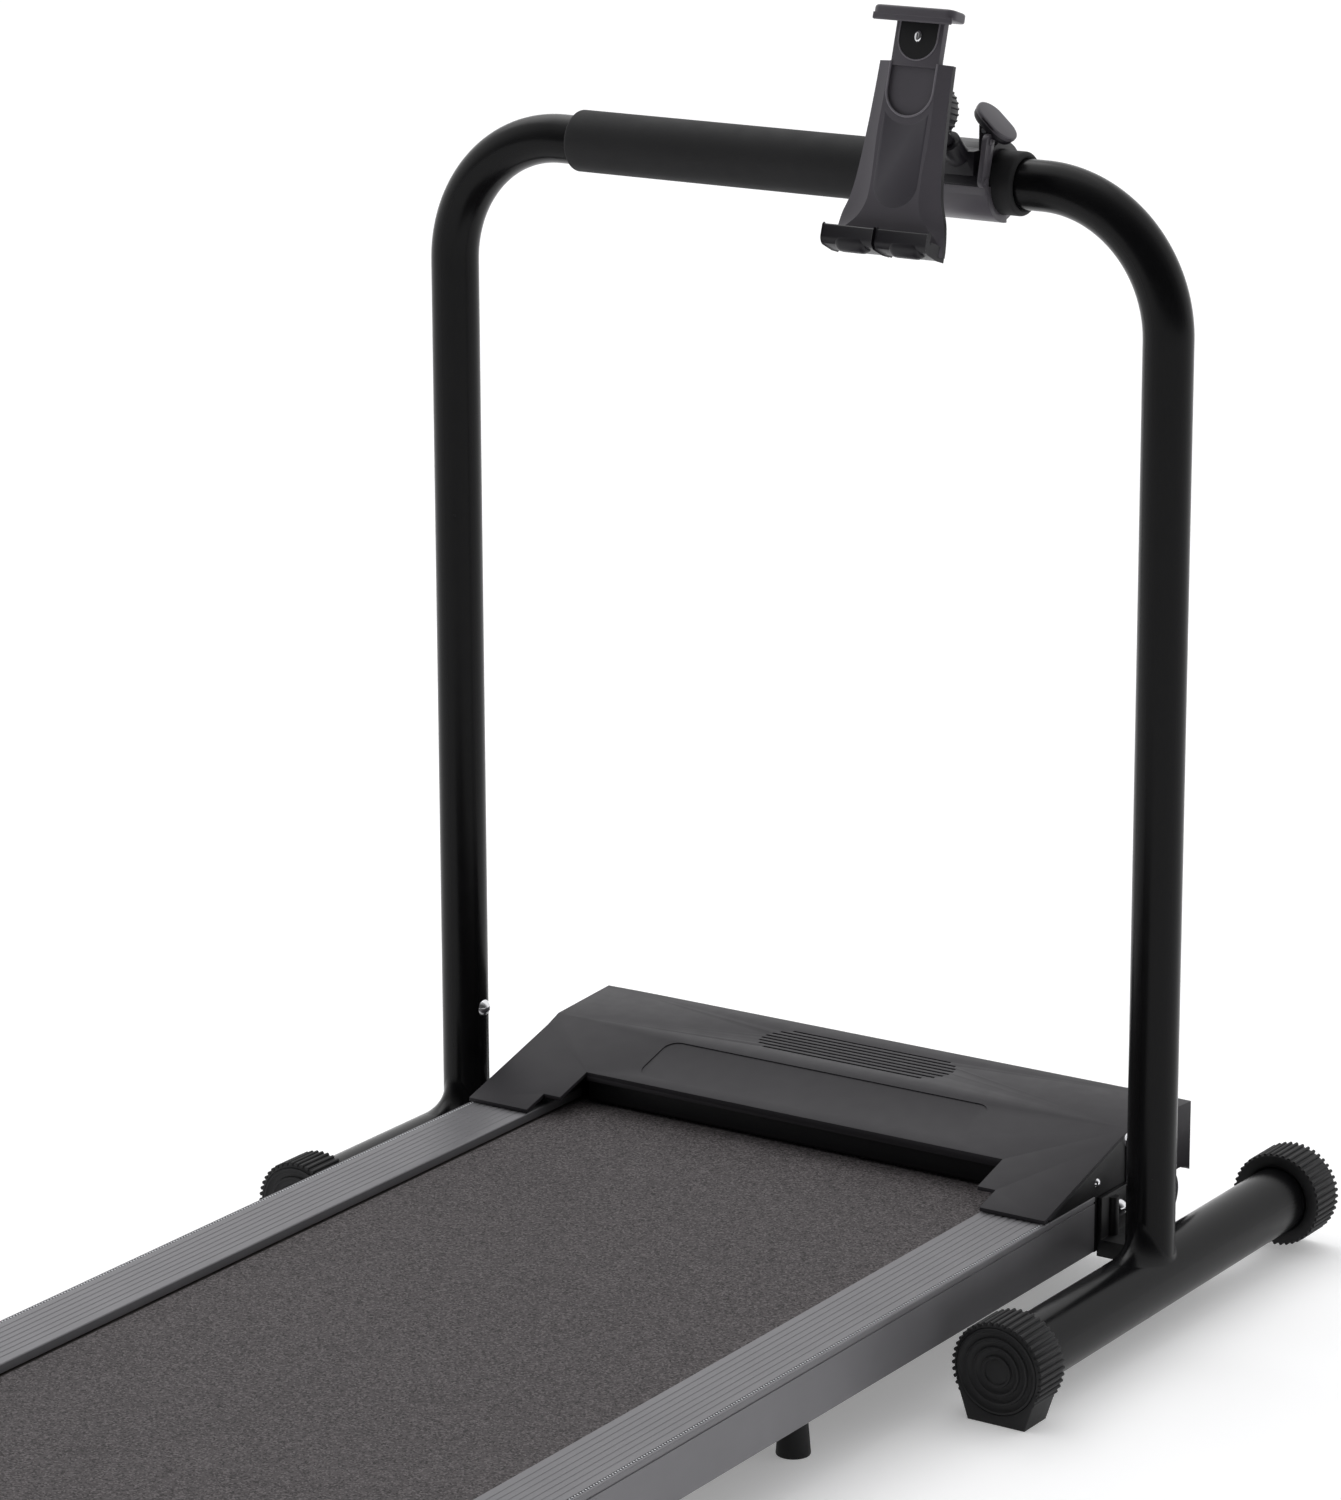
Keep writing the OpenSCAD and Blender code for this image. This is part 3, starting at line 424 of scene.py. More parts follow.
def baked(made: bpy.types.Object) -> bpy.types.Object:
    """Turns an object's modifiers into plain geometry.

    Args:
        made: an object with modifiers.

    Returns:
        The same object, with its evaluated mesh and no modifiers.
    """
    depsgraph = bpy.context.evaluated_depsgraph_get()
    mesh = bpy.data.meshes.new_from_object(made.evaluated_get(depsgraph))
    made.modifiers.clear()
    old, made.data = made.data, mesh
    bpy.data.meshes.remove(old)
    return made


def shaded(mesh: bpy.types.Mesh, sharp_deg: float = 34.0) -> bpy.types.Mesh:
    """Shades a mesh smooth, except across sharp edges.

    Args:
        mesh: the mesh.
        sharp_deg: edges that turn more than this stay sharp.

    Returns:
        The same mesh.
    """
    mesh.polygons.foreach_set("use_smooth", [True] * len(mesh.polygons))
    mesh.set_sharp_from_angle(angle=math.radians(sharp_deg))
    return mesh


def mesh_of(form: bmesh.types.BMesh, name: str, outward: bool = True) -> bpy.types.Mesh:
    """Writes a bmesh out as a mesh with merged points and outward faces.

    Args:
        form: the bmesh, which is freed.
        name: the mesh's name.
        outward: whether the faces are turned outwards.

    Returns:
        The mesh.
    """
    bmesh.ops.remove_doubles(form, verts=form.verts, dist=1e-6)
    if outward:
        bmesh.ops.recalc_face_normals(form, faces=form.faces)
    mesh = bpy.data.meshes.new(name)
    form.to_mesh(mesh)
    form.free()
    return mesh


def publish(
    made: bpy.types.Object, finish: Finish, body: str, stands_for: Sequence[str] = ()
) -> bpy.types.Object:
    """Gives a finished piece its material and body, and hides the nodes it stands for.

    Args:
        made: the piece.
        finish: its finish.
        body: the body it rides on.
        stands_for: the nodes it replaces.

    Returns:
        The piece.
    """
    made.data.materials.clear()
    made.data.materials.append(finish.material())
    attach(made, body)
    if stands_for:
        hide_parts(*stands_for)
    LOG.info("%s: %d faces on %s", made.name, len(made.data.polygons), body)
    return made


def rounded(made: bpy.types.Object, radius: float, steps: int = 3, sharp_deg: float = 32.0) -> None:
    """Rounds every sharp edge of an object and bakes the result.

    Args:
        made: the object.
        radius: the edges' radius.
        steps: faces across a rounded edge.
        sharp_deg: edges that turn more than this are rounded.
    """
    bevel = made.modifiers.new("edges", "BEVEL")
    bevel.width = radius
    bevel.segments = steps
    bevel.limit_method = "ANGLE"
    bevel.angle_limit = math.radians(sharp_deg)
    bevel.use_clamp_overlap = True
    bevel.miter_outer = "MITER_ARC"
    baked(made)


def prism(
    outline: Sequence[Point2], low: float, high: float, to_row: Callable[[float, float, float], Vector]
) -> bmesh.types.BMesh:
    """Draws a closed outline out between two depths.

    Args:
        outline: points as (u, v), without the closing point.
        low: the first depth.
        high: the last depth.
        to_row: turns (u, v, depth) into a place in the row frame.

    Returns:
        A closed bmesh.
    """
    form = bmesh.new()
    near = [form.verts.new(to_row(u, v, low)) for u, v in outline]
    far = [form.verts.new(to_row(u, v, high)) for u, v in outline]
    form.faces.new(near)
    form.faces.new(far)
    for i in range(len(outline)):
        j = (i + 1) % len(outline)
        form.faces.new((near[i], near[j], far[j], far[i]))
    bmesh.ops.recalc_face_normals(form, faces=form.faces)
    return form


def arc(centre: Point2, radius: float, start: float, stop: float, steps: int = 8) -> list[Point2]:
    """Points along a circular arc, with angles in degrees."""
    angles = (math.radians(start + (stop - start) * i / steps) for i in range(steps + 1))
    return [(centre[0] + radius * math.cos(a), centre[1] + radius * math.sin(a)) for a in angles]


def rounded_box(low: Point2, high: Point2, radius: float, steps: int = 8) -> list[Point2]:
    """The outline of a rectangle with round corners.

    Args:
        low: its lower left corner.
        high: its upper right corner.
        radius: the corners' radius.
        steps: edges in each corner.

    Returns:
        The outline, anticlockwise.
    """
    (x0, y0), (x1, y1) = low, high
    corners = ((x1 - radius, y1 - radius), (x0 + radius, y1 - radius),
               (x0 + radius, y0 + radius), (x1 - radius, y0 + radius))
    points: list[Point2] = []
    for i, corner in enumerate(corners):
        points += arc(corner, radius, 90 * i, 90 * (i + 1), steps)
    return points


def lengthways(x: float, y: float, z: float) -> Vector:
    """An outline in (X, Z), drawn out along Y."""
    return Vector((x, z, y))


def inset(outline: Sequence[Point2], by: float) -> list[Point2]:
    """Moves a closed outline inwards by a distance, corner by corner.

    Args:
        outline: points, anticlockwise.
        by: the distance; a negative one moves it outwards.

    Returns:
        The moved points.
    """
    moved = []
    for i, here in enumerate(outline):
        before, after = Vector(outline[i - 1]), Vector(outline[(i + 1) % len(outline)])
        first = (Vector(here) - before).normalized()
        second = (after - Vector(here)).normalized()
        left = Vector((-first.y - second.y, first.x + second.x))
        left = left.normalized() if left.length > 1e-6 else Vector((-first.y, first.x))
        stretch = max(0.35, left.dot(Vector((-first.y, first.x))))
        moved.append((here[0] + left.x * by / stretch, here[1] + left.y * by / stretch))
    return moved


@dataclass(frozen=True)
class Rim:
    """How a slab's rim is shaped.

    Args:
        deep: how far along the depth the rim reaches.
        wide: how far it goes in, sideways.
        steps: 1 for a chamfer, more for a round.
    """

    deep: float = 0.0
    wide: float = 0.0
    steps: int = 1

    def levels(self) -> list[Point2]:
        """Works out the rim's steps.

        Returns:
            (depth, inset) from the slab's face to its full outline.
        """
        if self.deep <= 0:
            return [(0.0, 0.0)]
        if self.steps == 1:
            return [(0.0, self.wide), (self.deep, 0.0)]
        turns = [math.pi / 2 * k / self.steps for k in range(self.steps + 1)]
        return [(self.deep * (1 - math.cos(a)), self.wide * (1 - math.sin(a))) for a in turns]


def loft(
    levels: Sequence[tuple[Sequence[Point2], float]], to_row: Callable[[float, float, float], Vector]
) -> bmesh.types.BMesh:
    """Joins outlines with equal numbers of points at rising depths into a closed form.

    Args:
        levels: (outline, depth) pairs.
        to_row: turns (u, v, depth) into a place in the row frame.

    Returns:
        A closed bmesh.
    """
    form = bmesh.new()
    rings = [[form.verts.new(to_row(u, v, depth)) for u, v in outline] for outline, depth in levels]
    form.faces.new(rings[0])
    form.faces.new(rings[-1])
    for first, second in zip(rings, rings[1:]):
        for i in range(len(first)):
            j = (i + 1) % len(first)
            form.faces.new((first[i], first[j], second[j], second[i]))
    bmesh.ops.recalc_face_normals(form, faces=form.faces)
    return form


def slab(
    outline: Sequence[Point2],
    low: float,
    high: float,
    to_row: Callable[[float, float, float], Vector],
    front: Rim = Rim(),
    back: Rim = Rim(),
) -> bmesh.types.BMesh:
    """Draws an outline out between two depths, with a shaped rim at each end.

    Args:
        outline: points as (u, v), anticlockwise.
        low: the first depth.
        high: the last depth.
        to_row: turns (u, v, depth) into a place in the row frame.
        front: the rim at the first depth.
        back: the rim at the last depth.

    Returns:
        A closed bmesh.
    """
    stations = [(low + deep, wide) for deep, wide in front.levels()]
    stations += [(high - deep, wide) for deep, wide in reversed(back.levels())]
    return loft([(inset(outline, wide), depth) for depth, wide in stations], to_row)


@dataclass
class Lathe:
    """Turns a profile round an axis.

    Args:
        centre: a point on the axis.
        axis: the axis's direction.
        steps: how many steps one turn has.
    """

    centre: Vector
    axis: Vector
    steps: int = 96

    def turn(self, profile: Sequence[Point2], name: str) -> bpy.types.Mesh:
        """Makes the closed surface of a profile.

        Args:
            profile: (distance along the axis, radius) points; an end with radius 0 is closed
                by a point, and otherwise the last point joins the first.
            name: the mesh's name.

        Returns:
            The mesh.
        """
        axis = self.axis.normalized()
        side = axis.orthogonal().normalized()
        other = axis.cross(side)
        form = bmesh.new()
        rings = []
        for along, radius in profile:
            ring = []
            for i in range(self.steps):
                angle = 2 * math.pi * i / self.steps
                out = side * math.cos(angle) + other * math.sin(angle)
                ring.append(form.verts.new(self.centre + axis * along + out * radius))
            rings.append(ring)
        closed = min(profile[0][1], profile[-1][1]) > 1e-7
        pairs = list(zip(rings, rings[1:])) + ([(rings[-1], rings[0])] if closed else [])
        for first, second in pairs:
            for i in range(self.steps):
                j = (i + 1) % self.steps
                form.faces.new((first[i], first[j], second[j], second[i]))
        bmesh.ops.remove_doubles(form, verts=form.verts, dist=1e-7)
        bmesh.ops.dissolve_degenerate(form, edges=form.edges, dist=1e-8)
        return mesh_of(form, name)


def tube_along(
    path: Sequence[Vector], radius: float, name: str, steps: int = 64, side: Vector = Vector((0, 1, 0))
) -> bpy.types.Mesh:
    """Sweeps a closed round rod along a flat path.

    Args:
        path: the centre line.
        radius: the rod's radius.
        name: the mesh's name.
        steps: points round the rod.
        side: the normal of the path's plane.

    Returns:
        The mesh, closed at both ends.
    """
    form = bmesh.new()
    rings = []
    for i, here in enumerate(path):
        before, after = path[max(i - 1, 0)], path[min(i + 1, len(path) - 1)]
        along = (after - before).normalized()
        other = along.cross(side)
        ring = []
        for k in range(steps):
            angle = 2 * math.pi * k / steps
            ring.append(form.verts.new(here + (side * math.cos(angle) + other * math.sin(angle)) * radius))
        rings.append(ring)
    for first, second in zip(rings, rings[1:]):
        for k in range(steps):
            m = (k + 1) % steps
            form.faces.new((first[k], first[m], second[m], second[k]))
    form.faces.new(rings[0])
    form.faces.new(rings[-1])
    return mesh_of(form, name)


def joined(forms: Iterable[bmesh.types.BMesh | bpy.types.Mesh], name: str) -> bpy.types.Mesh:
    """Puts several closed forms into one mesh.

    Args:
        forms: bmeshes or meshes, which are used up.
        name: the new mesh's name.

    Returns:
        The mesh.
    """
    whole = bmesh.new()
    for form in forms:
        mesh = form if isinstance(form, bpy.types.Mesh) else mesh_of(form, "part")
        whole.from_mesh(mesh)
        bpy.data.meshes.remove(mesh)
    mesh = bpy.data.meshes.new(name)
    whole.to_mesh(mesh)
    whole.free()
    return mesh


def carve(made: bpy.types.Object, tool: bpy.types.Mesh) -> None:
    """Cuts a closed tool mesh out of an object and bakes the result.

    Args:
        made: the object.
        tool: the tool, which is used up.
    """
    cutter = in_scene(tool, "cutter")
    cut = made.modifiers.new("cut", "BOOLEAN")
    cut.operation = "DIFFERENCE"
    cut.solver = "EXACT"
    cut.object = cutter
    baked(made)
    bpy.data.objects.remove(cutter)
    bpy.data.meshes.remove(tool)


def from_node(frame: dict, node: str, suffix: str, flat_deg: float = 0.6) -> bpy.types.Object:
    """A merged, simplified copy of a frame node, ready for finer work.

    Args:
        node: the node's name.
        suffix: what the new piece's name adds.
        flat_deg: faces that turn less than this are merged.

    Returns:
        The copy.
    """
    form = bmesh.new()
    form.from_mesh(frame["nodes"][node].data)
    bmesh.ops.remove_doubles(form, verts=form.verts, dist=5e-6)
    bmesh.ops.dissolve_limit(form, angle_limit=math.radians(flat_deg), verts=form.verts, edges=form.edges)
    return in_scene(mesh_of(form, node + suffix), node + suffix)


# ---------------------------------------------------------------- repeats


class RepeatTree:
    """A Geometry Nodes tree that sets copies of one small part on a row or a ring."""

    def __init__(self, name: str, sizes: dict[str, float]) -> None:
        """Starts the tree with its inputs.

        Args:
            name: the tree's name.
            sizes: the inputs' names and values; names that start with "Count" are whole numbers.
        """
        self.tree = bpy.data.node_groups.new(name, "GeometryNodeTree")
        self.sizes = sizes
        self.keys: dict[str, str] = {}
        face = self.tree.interface
        for key in sizes:
            kind = "NodeSocketInt" if key.startswith("Count") else "NodeSocketFloat"
            socket = face.new_socket(key, in_out="INPUT", socket_type=kind)
            self.keys[key] = socket.identifier
        face.new_socket("Geometry", in_out="OUTPUT", socket_type="NodeSocketGeometry")
        self.given = self.node("NodeGroupInput", {}, {})

    def node(
        self, kind: str, settings: dict[str, object], sockets: dict[str | int, object]
    ) -> bpy.types.Node:
        """Adds a node.

        Args:
            kind: the node's type.
            settings: attributes that are set first.
            sockets: its inputs: a number, a socket, or a node whose first output is linked.

        Returns:
            The node.
        """
        made = self.tree.nodes.new(kind)
        for key, value in settings.items():
            setattr(made, key, value)
        for key, value in sockets.items():
            if isinstance(value, bpy.types.Node):
                self.tree.links.new(value.outputs[0], made.inputs[key])
            elif isinstance(value, bpy.types.NodeSocket):
                self.tree.links.new(value, made.inputs[key])
            else:
                made.inputs[key].default_value = value
        return made

    def size(self, key: str) -> bpy.types.NodeSocket:
        """The input of that name."""
        return self.given.outputs[key]

    def vector(self, *parts: object) -> bpy.types.Node:
        """A vector from three sockets or numbers."""
        return self.node("ShaderNodeCombineXYZ", {}, dict(enumerate(parts)))

    def run(self, last: bpy.types.Node, finish: Finish, name: str) -> bpy.types.Mesh:
        """Ends the tree, runs it and returns the plain mesh.

        Args:
            last: the node whose geometry is wanted.
            finish: the material to set.
            name: the mesh's name.

        Returns:
            The mesh.
        """
        real = self.node("GeometryNodeRealizeInstances", {}, {0: last})
        dressed = self.node(
            "GeometryNodeSetMaterial", {}, {"Geometry": real, "Material": finish.material()}
        )
        self.node("NodeGroupOutput", {}, {0: dressed})
        holder = in_scene(bpy.data.meshes.new(name), name)
        modifier = holder.modifiers.new("repeat", "NODES")
        modifier.node_group = self.tree
        for key, value in self.sizes.items():
            modifier[self.keys[key]] = int(value) if key.startswith("Count") else float(value)
        baked(holder)
        mesh = holder.data
        bpy.data.objects.remove(holder)
        return mesh


def ring_of_ribs(
    count: int, radius: float, rib: float, length: float, finish: Finish, name: str
) -> bpy.types.Mesh:
    """Half-round ribs round a drum that stands on Z, from z = 0 to its length.

    Args:
        count: how many ribs.
        radius: the drum's radius, on which the ribs' centres lie.
        rib: a rib's radius.
        length: a rib's length.
        finish: the ribs' finish.
        name: the mesh's name.

    Returns:
        The ribs as one mesh.
    """
    tree = RepeatTree(
        name + "_tree", {"Count": count, "Radius": radius, "Rib radius": rib, "Rib length": length}
    )
    ring = tree.node(
        "GeometryNodeMeshCircle", {"fill_type": "NONE"},
        {"Vertices": tree.size("Count"), "Radius": tree.size("Radius")},
    )
    rod = tree.node(
        "GeometryNodeMeshCylinder",
        {"fill_type": "NGON"},
        {"Vertices": 10, "Radius": tree.size("Rib radius"), "Depth": tree.size("Rib length")},
    )
    set_ribs = tree.node("GeometryNodeInstanceOnPoints", {}, {"Points": ring, "Instance": rod})
    half = tree.node("ShaderNodeMath", {"operation": "MULTIPLY"}, {0: tree.size("Rib length"), 1: 0.5})
    lifted = tree.node(
        "GeometryNodeTransform", {}, {"Geometry": set_ribs, "Translation": tree.vector(0.0, 0.0, half)}
    )
    return tree.run(lifted, finish, name)


def row_of_beads(count: int, pitch: float, radius: float, finish: Finish, name: str) -> bpy.types.Mesh:
    """A row of small beads along Y, from the origin.

    Args:
        count: how many beads.
        pitch: the distance between them.
        radius: a bead's radius.
        finish: the beads' finish.
        name: the mesh's name.

    Returns:
        The beads as one mesh.
    """
    tree = RepeatTree(name + "_tree", {"Count": count, "Pitch": pitch, "Bead radius": radius})
    line = tree.node(
        "GeometryNodeMeshLine", {},
        {"Count": tree.size("Count"), "Offset": tree.vector(0.0, tree.size("Pitch"), 0.0)},
    )
    bead = tree.node(
        "GeometryNodeMeshUVSphere", {}, {"Segments": 8, "Rings": 4, "Radius": tree.size("Bead radius")}
    )
    beads = tree.node("GeometryNodeInstanceOnPoints", {}, {"Points": line, "Instance": bead})
    return tree.run(beads, finish, name)


# ---------------------------------------------------------------- the stand


@dataclass
class Stand:
    """The U-shaped handle, its foam grip, the floor tubes and their ribbed caps.

    Args:
        bend_radius: centre-line radius of the two bends.
        rib_count: ribs round a cap.
        weld_reach: how far the weld runs out behind the upright.
        foot_half: half the width of a rear cap's foot on the floor.
    """

    bend_radius: float = 105 * MM
    rib_count: int = 44
    weld_reach: float = 30 * MM
    foot_half: float = 24 * MM
    tube_radius: float = field(init=False)
    bar: Vector = field(init=False)
    upright_x: float = field(init=False)
    base: Vector = field(init=False)
    base_radius: float = field(init=False)

    def __post_init__(self) -> None:
        """Works out the tubes' places from the frame."""
        low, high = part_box("handle_frame")
        self.tube_radius = (high.y - low.y) / 2
        self.bar = Vector((0, (low.y + high.y) / 2, high.z - self.tube_radius))
        self.upright_x = high.x - self.tube_radius
        low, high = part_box("base_tube_right")
        self.base_radius = (high.x - low.x) / 2
        self.base = Vector(((low.x + high.x) / 2, 0, low.z + self.base_radius))

    def handle(self) -> None:
        """Makes the handle tube from one floor tube to the other."""
        bend_x = self.upright_x - self.bend_radius
        bend_z = self.bar.z - self.bend_radius
        foot = self.base.z + self.base_radius * 0.35
        half = [Vector((self.upright_x, self.bar.y, z)) for z in (foot, bend_z * 0.5)]
        half += [Vector((x, self.bar.y, z)) for x, z in arc((bend_x, bend_z), self.bend_radius, 0, 90, 40)]
        path = half + [Vector((-p.x, p.y, p.z)) for p in reversed(half)]
        made = in_scene(shaded(tube_along(path, self.tube_radius, "handle_tube"), 60), "handle_tube")
        publish(made, Finishes.TUBE, ROOT, ["handle_frame"])

    def grip(self) -> None:
        """Makes the foam sleeve with its pressed, rounded ends."""
        low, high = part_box("foam_grip")
        half, radius = (high.x - low.x) / 2, (high.z - low.z) / 2
        lip, bore = 3.2 * MM, self.tube_radius + 0.05 * MM
        ring = arc((half - lip, radius - lip), lip, 90, 0, 8)
        profile = [(-half + 1.2 * MM, bore), (-half, bore + 1.5 * MM)]
        profile += [(-a, r) for a, r in reversed(ring)]
        profile += [(half * k / 10, radius) for k in range(-9, 10)]
        profile += ring + [(half, bore + 1.5 * MM), (half - 1.2 * MM, bore)]
        mesh = Lathe(self.bar, Vector((1, 0, 0)), 96).turn(profile, "grip_sleeve")
        made = in_scene(shaded(mesh, 50), "grip_sleeve")
        publish(made, Finishes.FOAM, ROOT, ["foam_grip"])

    def weld(self, side: int) -> bmesh.types.BMesh:
        """The smooth weld where an upright meets its floor tube.

        Args:
            side: 1 for the right upright and -1 for the left.

        Returns:
            A thin closed skin with a hollow curve, widest behind the upright.
        """
        form = bmesh.new()
        steps, levels = 96, 10
        r, big = self.tube_radius - 0.15 * MM, self.base_radius - 0.15 * MM
        rows = []
        for i in range(steps):
            angle = 2 * math.pi * i / steps
            cx, cy = math.cos(angle), math.sin(angle)
            back = max(0.0, -cy) ** 2
            up = 5 * MM + self.weld_reach * 0.75 * back
            out = 4.5 * MM + self.weld_reach * back
            start = Vector((r * cx, r * cy, math.sqrt(big**2 - (r * cx) ** 2)))
            far_x = max(-big * 0.97, min(big * 0.97, (r + out * 0.6) * cx))
            far = Vector((far_x, (r + out) * cy, math.sqrt(big**2 - far_x**2)))
            top = start + Vector((0, 0, up))
            inside = Vector((start.x * 0.9, start.y * 0.9, start.z - 3 * MM))
            row = []
            for k in range(levels + 1):
                t = k / levels
                pull = top * (1 - t) ** 2 + start * 2 * t * (1 - t) + far * t**2
                row.append(pull)
            row.append(inside)
            middle = Vector((side * self.upright_x, self.bar.y, self.base.z))
            rows.append([form.verts.new(middle + p) for p in row])
        for i in range(steps):
            j = (i + 1) % steps
            for k in range(len(rows[i])):
                m = (k + 1) % len(rows[i])
                form.faces.new((rows[i][k], rows[j][k], rows[j][m], rows[i][m]))
        return form

    def base_tubes(self) -> None:
        """Makes both floor tubes with their welds."""
        for side, name in ((1, "right"), (-1, "left")):
            low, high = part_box(f"base_tube_{name}")
            centre = Vector((side * self.base.x, (low.y + high.y) / 2, self.base.z))
            half = (high.y - low.y) / 2
            profile = [(-half, 0.0), (-half, self.base_radius)]
            profile += [(half * k / 8, self.base_radius) for k in range(-7, 8)]
            profile += [(half, self.base_radius), (half, 0.0)]
            tube = Lathe(centre, Vector((0, 1, 0)), 96).turn(profile, "floor_tube")
            mesh = joined([tube, self.weld(side)], f"floor_tube_{name}")
            made = in_scene(shaded(mesh, 40), f"floor_tube_{name}")
            publish(made, Finishes.TUBE, ROOT, [f"base_tube_{name}"])

    def cap(self, node: str, outward: int, foot: bool) -> None:
        """Makes one ribbed end cap.

        Args:
            node: the frame node it stands for.
            outward: 1 if its closed end faces +Y, and -1 for -Y.
            foot: whether it stands on a flat foot.
        """
        low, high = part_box(node)
        radius, length = (high.x - low.x) / 2, high.y - low.y
        rib = 1.5 * MM
        drum = radius - rib
        face_y = high.y if outward > 0 else low.y
        centre = Vector(((low.x + high.x) / 2, face_y, self.base.z))
        bore = self.base_radius + 0.1 * MM
        profile: list[Point2] = [(0.8 * MM, 0.0), (0.8 * MM, 8 * MM)]
        for groove in (11 * MM, 18 * MM, 25 * MM, 32 * MM):
            profile += [(1.0 * MM, groove - 1.4 * MM), (0.0, groove - 0.7 * MM), (0.0, groove + 0.9 * MM)]
            profile += [(1.5 * MM, groove + 1.6 * MM), (1.5 * MM, groove + 3.0 * MM)]
        profile += [(0.6 * MM, drum - 2.6 * MM), (1.2 * MM, drum - 1.2 * MM), (2.6 * MM, drum)]
        profile += [(length - 0.9 * MM, drum), (length - 0.3 * MM, drum - 0.3 * MM)]
        profile += [(length, drum - 0.9 * MM)]
        profile += [(length, bore + 1.5 * MM), (length - 1.5 * MM, bore), (6 * MM, bore), (6 * MM, 0.0)]
        mesh = Lathe(centre, Vector((0, -outward, 0)), 96).turn(profile, "cap_drum")
        ribs = ring_of_ribs(self.rib_count, drum, rib, length - 1.4 * MM, Finishes.CAP, "cap_ribs")
        turn = Matrix.Rotation(math.radians(90 * outward), 4, "X")
        ribs.transform(Matrix.Translation(centre + Vector((0, -outward * MM, 0))) @ turn)
        parts = [mesh, ribs]
        if foot:
            half, drop = self.foot_half, self.base.z
            lean = math.degrees(math.acos(drum / math.hypot(half, drop)) - math.atan2(drop, half))
            outer = drum - 0.3 * MM
            right, left = arc((0, 0), outer, lean, -180 - lean, 1)
            outline = [(-half, -drop), (half, -drop), right]
            outline += [*arc((0, 0), drum - 3.2 * MM, lean, -180 - lean, 24), left]
            moved = [(centre.x + u, centre.z + v) for u, v in outline]
            rim = Rim(1.2 * MM, 0.9 * MM, 3)
            parts.append(slab(moved, low.y + 0.5 * MM, high.y - 2.5 * MM, lengthways, rim, rim))
        made = in_scene(shaded(joined(parts, node + "_cap"), 50), node.replace("base_cap", "ribbed_cap"))
        publish(made, Finishes.CAP, ROOT, [node])

    def build(self) -> None:
        """Makes every piece of the stand."""
        self.handle()
        self.grip()
        self.base_tubes()
        for side in ("left", "right"):
            self.cap(f"base_cap_rear_{side}", -1, True)
            self.cap(f"base_cap_front_{side}", 1, False)


# ---------------------------------------------------------------- the deck


